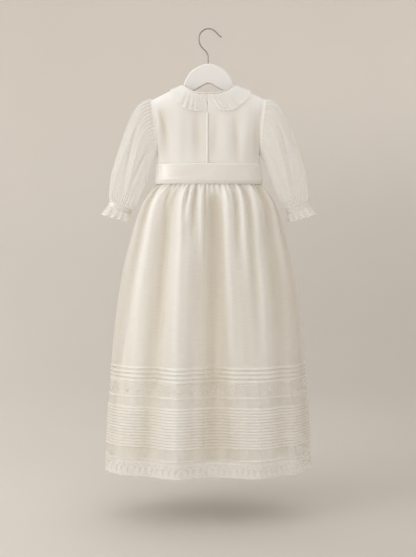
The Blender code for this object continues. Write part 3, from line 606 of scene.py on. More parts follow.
def room_inside(side, x, z):
    """Depth of the skirt's cloth over a spot, the least within a few millimetres across,
    read between the points of a grid."""
    if side not in ROOM:
        heights = np.linspace(WAIST_SEAM, LINING_HEM, 240)
        across = np.linspace(-205.0, 205.0, 411)
        cloth = skirt_cloth(side, np.linspace(-0.99, 0.99, 600)[None, :], heights[:, None])
        depth = np.array([np.interp(across, row[:, 0], np.abs(row[:, 1])) for row in cloth])
        least = np.min([np.roll(depth, shift, axis=1) for shift in range(-5, 6)], axis=0)
        ROOM[side] = (heights, across, least)
    heights, across, depth = ROOM[side]
    down = np.clip(np.interp(-z, -heights, np.arange(len(heights))), 0.0, len(heights) - 1.001)
    along = np.clip(np.interp(x, across, np.arange(len(across))), 0.0, len(across) - 1.001)
    i, j = down.astype(int), along.astype(int)
    a, b = down - i, along - j
    return ((1 - a) * ((1 - b) * depth[i, j] + b * depth[i, j + 1])
            + a * ((1 - b) * depth[i + 1, j] + b * depth[i + 1, j + 1]))


def lining_cloth(side, places, z, stand=0.0):
    """Points of the lining: ovals that grow downwards, with nine shallow waves, which give
    way where a valley of the skirt comes close."""
    places, z = np.broadcast_arrays(np.asarray(places, float), np.asarray(z, float))
    size = {name: read(LINING, LINING_COLUMNS, name, z) for name in LINING_COLUMNS[1:]}
    grown = np.clip((FOLD_START - z) / (FOLD_START - LINING_HEM), 0.0, 1.0)
    waves = np.sin(math.pi * LINING_FOLDS * places + 0.4 * np.sin(5.0 * places)) * (1.0 - places ** 8)
    out = LINING_FOLD_DEPTH * grown * waves + stand
    x, y, z = on_oval(places, z, side, size["half_width"], size["half_depth"], out)
    x, depth = x + size["shift"], np.abs(y)
    room = room_inside(side, x, z) - LINING_CLEAR
    closer = room - np.log1p(np.exp(np.clip(room - depth, -60.0, 60.0)))
    depth = depth + (np.maximum(closer, 0.0) - depth) * ease(depth, 4.0, 12.0)
    return np.stack((x, side * depth, z), axis=-1)


def ridge(x):
    """Height of the shoulder line over a place across."""
    return RIDGE_TOP - RIDGE_FALL * np.abs(x)


def armhole_depth(z):
    """Half depth of the armhole edge, a quarter ellipse down to the armpit."""
    below = np.clip((ARMHOLE_LEVEL - z) / (ARMHOLE_LEVEL - ARMPIT), 0.0, 1.0)
    return ARMHOLE_DEPTH * np.sqrt(1.0 - below ** 2)


def bodice_depth(x, z, inset=0.0):
    """Half depth of the bodice: a blunt crown from its side line to its centre line, under
    a blunt arch that falls from the shoulder line."""
    share = np.clip(np.abs(x) / read(BODICE, BODICE_COLUMNS, "side", z), 0.0, 1.0)
    crown = (1.0 - share ** OVAL_POWER) ** (1 / OVAL_POWER)
    edge = armhole_depth(z)
    full = edge + (read(BODICE, BODICE_COLUMNS, "middle", z) - edge) * crown
    left = 1.0 - np.clip(ridge(x) - z, 0.0, ARCH_HEIGHT) / ARCH_HEIGHT
    return (full - inset) * (1.0 - left ** OVAL_POWER) ** (1 / OVAL_POWER)


def bodice_creases(x, z, side):
    """Soft creases: bells across a leaning line that fade towards the line's ends."""
    stand = 0.0
    for middle, height, length, breadth, lean, rise in BODICE_CREASES[side]:
        down = (height - z) / length
        stand = stand + rise * bell(x - middle - lean * down, breadth) * bell(down, 0.55)
    edge_free = ease(ridge(x) - z, 4.0, 40.0)
    return stand * edge_free * bpy.context.scene.gown_sizes.crease_depth


def softened(depth, share):
    """Depths averaged down the cloth, more towards the centre line and not on the armhole
    or the top edge, so that no step shows at the armpit's level."""
    rows = len(depth)
    if rows < 30:
        return depth
    away = np.arange(-14, 15)
    weight = np.exp(-(away / 7.0) ** 2)
    number = np.clip(np.arange(rows)[:, None] + away, 0, rows - 1)
    mean = (depth[number] * (weight / weight.sum())[None, :, None]).sum(axis=1)
    row = np.arange(rows)[:, None]
    free = ease(row, 18, 36) * (1.0 - ease(row, rows - 8, rows - 1)) * (1.0 - share ** 24)
    return depth + (mean - depth) * free


def neck_height(x, side):
    """Height of the neckline at a place across."""
    return read(NECKLINE, NECK_COLUMNS, "back" if side == BACK else "front", np.abs(x))


def bodice_grid(side, places, steps, inset=0.0):
    """Points of a bodice panel. Steps run from 0 at the top edge, through 1 at the armpit's
    level, to 2 at the waist; places are shares of the side line."""
    share = np.abs(places)[None, :]
    top_x = share * SHOULDER_END
    top = np.where(share < NECK_SHARE, neck_height(top_x, side), ridge(top_x))
    steps = np.asarray(steps)[:, None]
    eased = np.minimum(steps, 1.0) ** 1.8
    z = top + (ARMPIT - top) * eased + (BODICE_END - ARMPIT) * np.maximum(steps - 1.0, 0.0)
    x = share * read(BODICE, BODICE_COLUMNS, "side", z)
    drop = ridge(x) - z
    flat_x = np.sign(places)[None, :] * x
    depth = softened(bodice_depth(x, z, inset), share) + bodice_creases(flat_x, z, side) * (share < 0.999)
    depth = np.maximum(depth, SEAM / 2)
    z = z - inset * np.clip(1.0 - drop / ARCH_HEIGHT, 0.0, 1.0)
    if side == BACK:
        flat_x = flat_x + CENTRE_BACK_BODICE * (1.0 - share) ** 2
        parted = SLIT_HALF_WIDTH * bell(share, 0.03) * ease(z, PLACKET_END + 8.0, PLACKET_TOP - 12.0)
        flat_x = flat_x + parted * (1.0 if places[-1] > 0.0 else -1.0)
    return np.stack((flat_x, side * depth, z), axis=-1)


def bodice_spot(x, z, side, lift):
    """Points lifted off the bodice's outer face along its normal."""
    step = 0.02
    slope_x = (bodice_depth(x + step, z) - bodice_depth(x - step, z)) / (2 * step)
    slope_z = (bodice_depth(x, z) - bodice_depth(x, z - step)) / step
    normal = unit(np.stack((-slope_x, side * np.ones_like(slope_x), -slope_z), axis=-1))
    points = np.stack((x, side * bodice_depth(x, z), z), axis=-1)
    return points + normal * np.asarray(lift)[..., None], normal


def grid_quads(rows, columns, ring=False):
    """Quads of a grid numbered row by row; a ring's last column joins its first."""
    row = np.arange(rows - 1)[:, None] * columns
    column = np.arange(columns if ring else columns - 1)[None, :]
    after = (column + 1) % columns
    corners = (row + column, row + after, row + columns + after, row + columns + column)
    return np.stack(np.broadcast_arrays(*corners), axis=-1).reshape(-1, 4)


def facing_out(vertices, quads, inside=None):
    """Turns the quads over if they face in: away from a point inside, or by the volume."""
    a, b, c, d = (vertices[quads[:, k]] for k in range(4))
    normals = np.cross(c - a, d - b)
    centres = (a + b + c + d) / 4.0
    if inside is not None:
        centres = centres - np.asarray(inside)
    return quads if (normals * centres).sum() > 0.0 else quads[:, ::-1]


def add_piece(name, vertices, quads, material, nodes=(), slot=None, spread=None, marks=None):
    """Adds a smooth piece that rides on the gown, from points in millimetres. Spread is
    each point's place on the flat cloth, which becomes the UV map; marks are values at
    each point that a material reads."""
    mesh = bpy.data.meshes.new(name)
    mesh.vertices.add(len(vertices))
    mesh.vertices.foreach_set("co", np.ascontiguousarray(vertices * METRE, np.float32).ravel())
    mesh.loops.add(quads.size)
    mesh.loops.foreach_set("vertex_index", np.ascontiguousarray(quads, np.int32).ravel())
    mesh.polygons.add(len(quads))
    mesh.polygons.foreach_set("loop_start", np.arange(0, quads.size, 4, dtype=np.int32))
    mesh.update(calc_edges=True)
    mesh.shade_smooth()
    if spread is not None:
        corners = (spread * METRE)[quads.ravel()]
        mesh.uv_layers.new(name="cloth").data.foreach_set("uv", corners.astype(np.float32).ravel())
    for mark, values in (marks or {}).items():
        layer = mesh.attributes.new(mark, "FLOAT", "POINT")
        layer.data.foreach_set("value", values.astype(np.float32).ravel())
    mesh.materials.append(material)
    piece = bpy.data.objects.new(name, mesh)
    bpy.context.scene.collection.objects.link(piece)
    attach(piece, "root")
    if nodes:
        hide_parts(*nodes)
    return piece


def add_sheet(name, grid, material, nodes, slot, ring=False, inside=None, wall=0.0, **marks):
    """Adds a sheet of cloth from a grid of points; its UV map is measured along the cloth.
    Marks are values over the grid, by name."""
    rows, columns = grid.shape[:2]
    vertices = grid.reshape(-1, 3)
    inside = vertices.mean(axis=0) * (0.0, 0.0, 1.0) if inside is None else inside
    quads = facing_out(vertices, grid_quads(rows, columns, ring), inside)
    across = np.linalg.norm(np.diff(grid, axis=1), axis=-1).max(axis=0)
    down = np.linalg.norm(np.diff(grid, axis=0), axis=-1).mean(axis=1)
    u = np.concatenate(([0.0], np.cumsum(across)))[None, :]
    v = -np.concatenate(([0.0], np.cumsum(down)))[:, None]
    spread = np.stack(np.broadcast_arrays(u, v), axis=-1).reshape(-1, 2)
    marks = {mark: np.broadcast_to(values, (rows, columns)) for mark, values in marks.items()}
    piece = add_piece(name, vertices, quads, material, nodes, slot, spread, marks)
    if wall:
        thick = piece.modifiers.new("cloth", "SOLIDIFY")
        thick.thickness = wall * METRE
        thick.offset = -1.0
    return piece


def cord_mesh(paths, ups, radius, sides=6):
    """Round cords. Paths are (cords, points, 3); a circle of the radius is carried along
    each, square to it, and the ends are closed by a fan of quads."""
    tangents = unit(np.gradient(paths, axis=1))
    across = unit(np.cross(tangents, ups))
    up = np.cross(across, tangents)
    angle = np.arange(sides) * 2 * math.pi / sides
    spokes = (across[..., None, :] * np.cos(angle)[:, None] + up[..., None, :] * np.sin(angle)[:, None])
    count, points = paths.shape[:2]
    size = np.broadcast_to(radius, (count, points))[..., None, None]
    vertices = (paths[..., None, :] + size * spokes).reshape(-1, 3)
    tube = grid_quads(points, sides, ring=True)
    fan = np.stack([np.array((0, k, k + 1, k + 2)) for k in range(1, sides - 2, 2)])
    last = (points - 1) * sides + fan[:, ::-1]
    one = np.concatenate((tube[:, ::-1], fan, last))
    quads = (one[None] + np.arange(count)[:, None, None] * points * sides).reshape(-1, 4)
    return vertices, facing_out(vertices, quads)


def bead_mesh(centres, along, out, length, breadth, height, rings=4, columns=6):
    """Small ovals of thread: a ball stretched along, across and out of the cloth."""
    across = unit(np.cross(out, along))
    along = unit(np.cross(across, out))
    tilt = np.linspace(0.16 * math.pi, 0.84 * math.pi, rings)[:, None]
    turn = (np.arange(columns) * 2 * math.pi / columns)[None, :]
    ball = np.stack(np.broadcast_arrays(np.sin(tilt) * np.cos(turn), np.sin(tilt) * np.sin(turn),
                                        np.cos(tilt)), axis=-1).reshape(-1, 3)
    size = np.stack(np.broadcast_arrays(length, breadth, height), axis=-1) / 2.0
    size = np.broadcast_to(size, centres.shape)
    vertices = (centres[:, None] + along[:, None] * ball[None, :, :1] * size[:, None, :1]
                + across[:, None] * ball[None, :, 1:2] * size[:, None, 1:2]
                + out[:, None] * ball[None, :, 2:] * size[:, None, 2:]).reshape(-1, 3)
    body = grid_quads(rings, columns, ring=True)
    fan = np.stack([np.array((0, k, k + 1, k + 2)) for k in range(1, columns - 2, 2)])
    one = np.concatenate((body, fan[:, ::-1], fan + (rings - 1) * columns))
    quads = (one[None] + np.arange(len(centres))[:, None, None] * rings * columns).reshape(-1, 4)
    return vertices, facing_out(vertices, quads)


def joined(parts):
    """One mesh from several (vertices, quads)."""
    starts = np.cumsum([0] + [len(vertices) for vertices, _ in parts[:-1]])
    return (np.concatenate([vertices for vertices, _ in parts]),
            np.concatenate([quads + start for (_, quads), start in zip(parts, starts)]))


def frame_on(surface, side, u, v):
    """Points of a surface with their directions along it and out of it, by small steps."""
    point = surface(side, u, v)
    along = unit(surface(side, u + 0.002, v) - surface(side, u - 0.002, v))
    down = unit(surface(side, u, v - 0.3) - surface(side, u, v + 0.3))
    return point, along, unit(side * np.cross(along, down))


def stitches_along(path, out, pitch, lift=0.25):
    """Machine stitches: beads set end to end along a path, a pitch apart by length."""
    length = np.concatenate(([0.0], np.cumsum(np.linalg.norm(np.diff(path, axis=0), axis=1))))
    middles = np.arange(pitch / 2, length[-1], pitch)
    centre = np.stack([np.interp(middles, length, path[:, k]) for k in range(3)], axis=-1)
    tangent = np.gradient(path, axis=0)
    along = unit(np.stack([np.interp(middles, length, tangent[:, k]) for k in range(3)], axis=-1))
    normal = unit(np.stack([np.interp(middles, length, out[:, k]) for k in range(3)], axis=-1))
    return bead_mesh(centre + normal * lift, along, normal, 0.8 * pitch, 0.5, 0.45, 3, 6)


def shader_node(tree, kind, settings=None, **inputs):
    """Adds a shader node. An input is a value, or a socket to link."""
    made = tree.nodes.new(kind)
    for key, value in (settings or {}).items():
        setattr(made, key, value)
    for key, value in inputs.items():
        socket = made.inputs[key.replace("_", " ")]
        if isinstance(value, bpy.types.NodeSocket):
            tree.links.new(value, socket)
        else:
            socket.default_value = value
    return made


def calculate(tree, operation, *values):
    """A Math node of values or sockets."""
    made = tree.nodes.new("ShaderNodeMath")
    made.operation = operation
    for socket, value in zip(made.inputs, values):
        if isinstance(value, bpy.types.NodeSocket):
            tree.links.new(value, socket)
        else:
            socket.default_value = value
    return made.outputs[0]


def new_material(name, **values):
    """A material with one Principled shader and plain values on its sockets."""
    material = bpy.data.materials.new(name)
    material.use_nodes = True
    tree = material.node_tree
    shader = tree.nodes["Principled BSDF"]
    for key, value in values.items():
        shader.inputs[key.replace("_", " ")].default_value = value
    return material, tree, shader


def streaks(tree, coordinates, across, along, detail=2.0):
    """Long fine threads: noise that is stretched along one way of the cloth."""
    spread = shader_node(tree, "ShaderNodeMapping", Vector=coordinates, Scale=(across, along, 1.0))
    noise = shader_node(tree, "ShaderNodeTexNoise", Vector=spread.outputs["Vector"], Scale=1.0, Detail=detail)
    return noise.outputs["Fac"]


def tint(tree, shader, colour, amount, *patterns):
    """Lightens and darkens a colour a little by the mean of some patterns."""
    total = patterns[0]
    for pattern in patterns[1:]:
        total = calculate(tree, "ADD", total, pattern)
    share = calculate(tree, "DIVIDE", total, float(len(patterns)))
    spread = shader_node(tree, "ShaderNodeMapRange", From_Min=0.3, From_Max=0.7, Value=share)
    mix = shader_node(tree, "ShaderNodeMix", {"data_type": "RGBA"}, Factor=spread.outputs[0])
    mix.inputs[6].default_value = (*(c * (1.0 - amount) for c in colour), 1.0)
    mix.inputs[7].default_value = (*(min(1.0, c * (1.0 + amount)) for c in colour), 1.0)
    tree.links.new(mix.outputs[2], shader.inputs["Base Color"])


def bump(tree, shader, height, strength, distance):
    """Sends a height pattern to the shader's normal."""
    made = shader_node(tree, "ShaderNodeBump", Height=height, Strength=strength, Distance=distance)
    tree.links.new(made.outputs["Normal"], shader.inputs["Normal"])


def cloth_material(name, colour, opacity=1.0, roughness=0.6, weave=0.25, **values):
    """Woven cloth. Warp and weft are noise stretched both ways, which tints it and raises it.
    Painted shade: where the valley mark is set, in a fold's valley, the colour is
    multiplied towards a darker, warmer one. Sheer cloth lets through 1 - opacity at each ply."""
    material, tree, shader = new_material(name, Roughness=roughness, **values)
    uv = shader_node(tree, "ShaderNodeUVMap", {"uv_map": "cloth"}).outputs["UV"]
    warp = streaks(tree, uv, 1900.0, 60.0)
    weft = streaks(tree, uv, 60.0, 1900.0)
    slub = streaks(tree, uv, 40.0, 900.0, 1.0)
    cloud = streaks(tree, uv, 16.0, 11.0, 3.0)
    tint(tree, shader, colour, 0.035, warp, weft, cloud)
    woven = shader.inputs["Base Color"].links[0].from_socket
    # Painted shade: the valley mark multiplies the colour towards a darker, warmer one.
    valley = shader_node(tree, "ShaderNodeAttribute", {"attribute_name": "valley"}).outputs["Fac"]
    valley_shaded = shader_node(tree, "ShaderNodeMix", {"data_type": "RGBA", "blend_type": "MULTIPLY"}, Factor=valley)
    valley_shaded.inputs[7].default_value = VALLEY_SHADE
    tree.links.new(woven, valley_shaded.inputs[6])
    tree.links.new(valley_shaded.outputs[2], shader.inputs["Base Color"])
    bump(tree, shader, calculate(tree, "ADD", warp, weft), weave, 0.0003)
    if opacity < 1.0:
        plies = shader_node(tree, "ShaderNodeAttribute", {"attribute_name": "plies"}).outputs["Fac"]
        thread = calculate(tree, "MULTIPLY_ADD", slub, 0.10, opacity - 0.05)
        hole = calculate(tree, "SUBTRACT", 1.0, thread)
        through = calculate(tree, "POWER", hole, plies)
        tree.links.new(calculate(tree, "SUBTRACT", 1.0, through), shader.inputs["Alpha"])
    return material


def lace_material(name, colour, net_pitch=0.0016, thread=0.4, solid=0.44):
    """Net ground: threads where two slanting rulings of the cloth come round, over a
    sheer base, and denser where plies are added."""
    material, tree, shader = new_material(name, Roughness=0.7, Sheen_Weight=0.2)
    uv = shader_node(tree, "ShaderNodeUVMap", {"uv_map": "cloth"}).outputs["UV"]
    split = shader_node(tree, "ShaderNodeSeparateXYZ", Vector=uv)
    u, v = split.outputs["X"], split.outputs["Y"]
    lines = []
    for operation in ("ADD", "SUBTRACT"):
        slant = calculate(tree, "DIVIDE", calculate(tree, operation, u, v), net_pitch)
        middle = calculate(tree, "ABSOLUTE", calculate(tree, "SUBTRACT", calculate(tree, "FRACT", slant), 0.5))
        lines.append(calculate(tree, "GREATER_THAN", middle, 0.5 - thread / 2))
    net = calculate(tree, "MAXIMUM", *lines)
    worked = streaks(tree, uv, 160.0, 160.0)
    tint(tree, shader, colour, 0.04, worked, net)
    plies = shader_node(tree, "ShaderNodeAttribute", {"attribute_name": "plies"}).outputs["Fac"]
    cover = calculate(tree, "MULTIPLY_ADD", net, 0.26, solid - 0.10)
    hole = calculate(tree, "SUBTRACT", 1.0, cover)
    through = calculate(tree, "POWER", hole, plies)
    tree.links.new(calculate(tree, "SUBTRACT", 1.0, through), shader.inputs["Alpha"])
    bump(tree, shader, net, 0.3, 0.0003)
    return material


def satin_material(name, colour):
    """Satin: fine floats along the band, raised slightly, with a soft lengthwise shine."""
    material, tree, shader = new_material(
        name, Roughness=0.27, Specular_IOR_Level=0.8, Sheen_Weight=0.15, Anisotropic=0.4)
    uv = shader_node(tree, "ShaderNodeUVMap", {"uv_map": "cloth"}).outputs["UV"]
    floats = streaks(tree, uv, 90.0, 2600.0)
    cloud = streaks(tree, uv, 20.0, 30.0)
    tint(tree, shader, colour, 0.03, floats, cloud)
    bump(tree, shader, floats, 0.12, 0.0002)
    return material


def thread_material(name, colour):
    """Embroidery thread: fine twisted strands by noise on the object's own place."""
    material, tree, shader = new_material(name, Roughness=0.5, Sheen_Weight=0.3)
    place = shader_node(tree, "ShaderNodeTexCoord").outputs["Object"]
    twist = shader_node(tree, "ShaderNodeTexNoise", Vector=place, Scale=2200.0, Detail=1.0).outputs["Fac"]
    tint(tree, shader, colour, 0.04, twist)
    bump(tree, shader, twist, 0.25, 0.0002)
    return material


def paint_material(name, colour):
    """Brushed white paint on wood: long low ripples along the board and a thin coat."""
    material, tree, shader = new_material(name, Roughness=0.36, Coat_Weight=0.15, Coat_Roughness=0.2)
    place = shader_node(tree, "ShaderNodeTexCoord").outputs["Object"]
    brush = streaks(tree, place, 25.0, 300.0, 3.0)
    fine = shader_node(tree, "ShaderNodeTexNoise", Vector=place, Scale=420.0, Detail=3.0).outputs["Fac"]
    tint(tree, shader, colour, 0.015, brush, fine)
    bump(tree, shader, calculate(tree, "ADD", brush, fine), 0.08, 0.0004)
    return material


def wire_material(name, colour):
    """Polished wire with faint drawing marks along it."""
    material, tree, shader = new_material(name, Metallic=1.0)
    place = shader_node(tree, "ShaderNodeTexCoord").outputs["Object"]
    marks = streaks(tree, place, 900.0, 900.0, 2.0)
    tint(tree, shader, colour, 0.03, marks)
    rough = shader_node(tree, "ShaderNodeMapRange", Value=marks, To_Min=0.14, To_Max=0.26)
    tree.links.new(rough.outputs[0], shader.inputs["Roughness"])
    return material


# Painted shade for a fold's valley: this colour multiplies the cloth's own there.
VALLEY_SHADE = (0.79, 0.725, 0.625, 1.0)
MATERIALS = {}
ROOM = {}


def make_materials():
    """Every cloth and finish, from the colours in the panel."""
    colours = bpy.context.scene.gown_colours
    organza = tuple(colours.organza)
    MATERIALS.update({
        "organza": cloth_material("ivory_organza", organza, opacity=0.40, roughness=0.5,
                                  Sheen_Weight=0.25, Specular_IOR_Level=0.35),
        "bodice": cloth_material("organza_over_lining", tuple(colours.bodice), roughness=0.55,
                                 Sheen_Weight=0.25, Specular_IOR_Level=0.35),
        "lining": cloth_material("plain_lining", tuple(colours.lining), roughness=0.7, weave=0.2),
        "lace": lace_material("embroidered_lace", tuple(colours.lace)),
        "satin": satin_material("ivory_satin", tuple(colours.satin)),
        "thread": thread_material("ivory_thread", tuple(colours.thread)),
        "lace_thread": thread_material("lace_thread", tuple(LACE_THREAD * c for c in colours.thread)),
        "paint": paint_material("white_paint", tuple(colours.paint)),
        "wire": wire_material("polished_wire", tuple(colours.wire)),
    })


def panel_places(start, end, half_columns):
    """Even places across a panel, with the same spacing on each."""
    return np.linspace(start, end, int(round(half_columns * (end - start))) + 1)


def tuck_profile(first, pitch, count):
    """Heights, stands and plies of a run of tucks, each lapping down towards the next."""
    edges = first - pitch * np.arange(count)[:, None]
    share = min(1.0, (pitch - 1.0) / 4.9)
    above, stand, plies = (np.array([row[k] for row in TUCK])[None, :] for k in range(3))
    above = np.where(above > 0.0, above * share, above)
    stand = stand * bpy.context.scene.gown_sizes.tuck_stand
    return ((edges + above).ravel(), np.broadcast_to(stand, (count, len(TUCK))).ravel(),
            np.broadcast_to(plies, (count, len(TUCK))).ravel())


def plain_profile(start, end, rows):
    """Heights of a plain stretch, one ply thick."""
    z = np.linspace(start, end, rows)
    return z, np.zeros(rows), np.ones(rows)


def hemmed(profile, top=0.0, end=0.0):
    """Adds plies where the cloth's top or end edge is turned in, this many mm deep."""
    z, stand, plies = profile
    turned = np.zeros_like(z)
    if top:
        turned = np.maximum(turned, 1.0 - ease(z.max() - z, top * 0.7, top))
    if end:
        turned = np.maximum(turned, 1.0 - ease(z - z.min(), end * 0.7, end))
    return z, stand, plies + 1.6 * turned


def fold_valley_shade(side, places, z):
    """Painted shade on the skirt: how deep in a fold's valley the cloth lies, from nothing to
    one, which darkens and warms its colour. Flat cloth gets 0.30, and the sides, where
    the sheer cloth hangs beside the lining, are shaded as a shallow valley too."""
    folds = fall_stand(side, places, z) + 0.45 * fold_stand(side, places, z)
    beside = 0.30 * ease(np.abs(places), 0.60, 0.88)
    return np.clip(0.30 + beside - (folds + 1.6 * pucker_stand(side, places, z)) / 11.0, 0.0, 1.0)


def gathered_plies(side, places, z):
    """How many plies lie together where the cloth is gathered: most under the sash and few
    at its sides, more on a fold's crest, and fewer in its valley."""
    at_middle = 1.0 - 0.85 * ease(np.abs(places), 0.66, 0.90)
    crowd = 1.0 + 1.1 * at_middle * np.exp((z - WAIST_SEAM) / 130.0)
    folds = fall_stand(side, places, z) + 0.5 * fold_stand(side, places, z)
    return crowd * (1.0 + 0.075 * np.clip(folds, -2.6, 9.0))


def stretch_of_skirt(name, profile, half_columns, material, slot):
    """One horizontal stretch of the skirt, in its three panels."""
    z, stand, plies = profile
    pieces = {}
    for panel, side, start, end in PANELS:
        places = panel_places(start, end, half_columns)
        grid = skirt_cloth(side, places[None, :], z[:, None], stand[:, None] - 0.5)
        seam = 1.0 + 1.0 * bell((np.abs(places) - 1.0) * 200.0, 4.0)[None, :]
        if panel != "front":
            seam = seam + 0.4 * bell(places * 200.0, 2.5)[None, :]
        crowd = gathered_plies(side, places[None, :], z[:, None])
        # The valley mark is painted shade in the folds' valleys and at the skirt's sides.
        piece = add_sheet("cloth_" + name + "_" + panel, grid, material, [name + "_" + panel], slot,
                          plies=plies[:, None] * seam * crowd,
                          valley=fold_valley_shade(side, places[None, :], z[:, None]))
        pieces[panel] = piece
    return pieces


class GOWN_OT_skirt(bpy.types.Operator):
    """Sheer gathered skirt, with its upper tucks, insertion and tucked band"""

    bl_idname = "gown.skirt"
    bl_label = "Skirt"

    def execute(self, context):
        body = plain_profile(WAIST_SEAM - 0.5, UPPER_TUCK_FIRST + 9.0, 116)
        upper = tuck_profile(UPPER_TUCK_FIRST, UPPER_TUCK_PITCH, UPPER_TUCKS)
        end = hemmed(plain_profile(UPPER_TUCK_FIRST - UPPER_TUCK_PITCH * 3 - 0.9, SKIRT_END, 3), end=1.5)
        profile = [np.concatenate(parts) for parts in zip(body, upper, end)]
        stretch_of_skirt("skirt", profile, 160, MATERIALS["organza"], "organza")
        insertion = hemmed(plain_profile(SKIRT_END - SEAM, INSERTION_END, 22), top=2.0, end=2.0)
        stretch_of_skirt("insertion", insertion, 160, MATERIALS["organza"], "lace")
        top = hemmed(plain_profile(INSERTION_END - SEAM, LOWER_TUCK_FIRST + 6.0, 10), top=1.5)
        lower = tuck_profile(LOWER_TUCK_FIRST, LOWER_TUCK_PITCH, LOWER_TUCKS)
        last = LOWER_TUCK_FIRST - LOWER_TUCK_PITCH * (LOWER_TUCKS - 1)
        end = hemmed(plain_profile(last - 0.9, TUCKED_END + SEAM, 10), end=2.5)
        profile = [np.concatenate(parts) for parts in zip(top, lower, end)]
        stretch_of_skirt("tucked_band", profile, 140, MATERIALS["organza"], "organza")
        return {"FINISHED"}


class GOWN_OT_hem_lace(bpy.types.Operator):
    """Lace at the hem, with its scalloped lower edge"""

    bl_idname = "gown.hem_lace"
    bl_label = "Hem lace"

    def execute(self, context):
        profile = hemmed(plain_profile(TUCKED_END, HEM, 16), top=2.0, end=1.6)
        stretch_of_skirt("hem_lace", profile, 240, MATERIALS["lace"], "lace")
        return {"FINISHED"}


class GOWN_OT_lining(bpy.types.Operator):
    """Plain lining inside the skirt, a front and a back"""

    bl_idname = "gown.lining"
    bl_label = "Lining"

    def execute(self, context):
        heights = np.concatenate((np.linspace(WAIST_SEAM - 0.6, LINING_HEM + 12.0, 44),
                                  np.linspace(LINING_HEM + 11.0, LINING_HEM, 6)))
        hem = -0.5 * ease(heights, LINING_HEM + 10.6, LINING_HEM + 11.2)
        places = np.linspace(-1.0, 1.0, 105)
        for name, side in (("back", BACK), ("front", FRONT)):
            grid = lining_cloth(side, places[None, :], heights[:, None], hem[:, None])
            piece = add_sheet("cloth_lining_" + name, grid, MATERIALS["lining"], ["lining_" + name],
                              "lining", wall=0.5)
        return {"FINISHED"}


class GOWN_OT_bodice(bpy.types.Operator):
    """Bodice front and two backs, organza cut with its lining as one layer"""

    bl_idname = "gown.bodice"
    bl_label = "Bodice"

    def execute(self, context):
        steps = np.concatenate((np.linspace(0.0, 1.0, 46), np.linspace(1.0, 2.0, 16)[1:]))
        for panel, side, start, end in PANELS:
            places = panel_places(start, end, 62)
            grid = bodice_grid(side, places, steps)
            # Painted shade: the creases' valleys are darkened and warmed through the valley mark.
            valley = np.clip(-0.26 * bodice_creases(grid[..., 0], grid[..., 2], side), 0.0, 0.8)
            piece = add_sheet("cloth_bodice_" + panel, grid, MATERIALS["bodice"], ["bodice_" + panel],
                              "bodice_cloth", wall=0.8, valley=valley)
        return {"FINISHED"}


def armhole_path(columns):
    """The armhole's edge, from the shoulder down the back to the armpit and up the front,
    in points evenly spaced by length."""
    steps = np.linspace(0.0, 1.0, 200) ** 0.7
    edge = bodice_grid(BACK, np.array([1.0]), steps)[:, 0]
    edge[0, 1] = edge[-1, 1] = 0.0
    length = np.concatenate(([0.0], np.cumsum(np.linalg.norm(np.diff(edge, axis=0), axis=1))))
    wanted = np.linspace(0.0, length[-1], columns // 2 + 1)
    back = np.stack([np.interp(wanted, length, edge[:, k]) for k in range(3)], axis=-1)
    front = back[-2:0:-1] * (1.0, -1.0, 1.0)
    return np.concatenate((back, front))


def slanted_ring(outer, inner, half_depth, columns):
    """An oval ring from its outer end, down the back, to its inner end and up the front."""
    places = 1.0 - 4.0 * np.arange(columns) / columns
    side = np.where(places >= -1.0, BACK, FRONT)
    places = np.where(places >= -1.0, places, -2.0 - places)
    along = np.sign(places) * np.interp(np.abs(places), OVAL_LENGTH, OVAL_ACROSS)
    deep = np.interp(np.abs(places), OVAL_LENGTH, OVAL_DEEP)
    outer, inner = np.array(outer), np.array(inner)
    centre, reach = (outer + inner) / 2, (outer - inner) / 2
    return np.stack((centre[0] + reach[0] * along, side * deep * half_depth,
                     centre[1] + reach[1] * along), axis=-1)


def ring_axis(outer, inner):
    """The sleeve's direction, square to a ring's long line, down and outwards."""
    line = unit(np.array(outer) - np.array(inner))
    return np.array((line[1], 0.0, -line[0]))


def ring_normals(grid):
    """Outward normals of a grid of rings: its tangents round and along, crossed."""
    round_it = np.roll(grid, -1, axis=1) - np.roll(grid, 1, axis=1)
    normals = unit(np.cross(round_it, np.gradient(grid, axis=0)))
    outward = (normals * (grid - grid.mean(axis=1, keepdims=True))).sum()
    return normals if outward > 0.0 else -normals


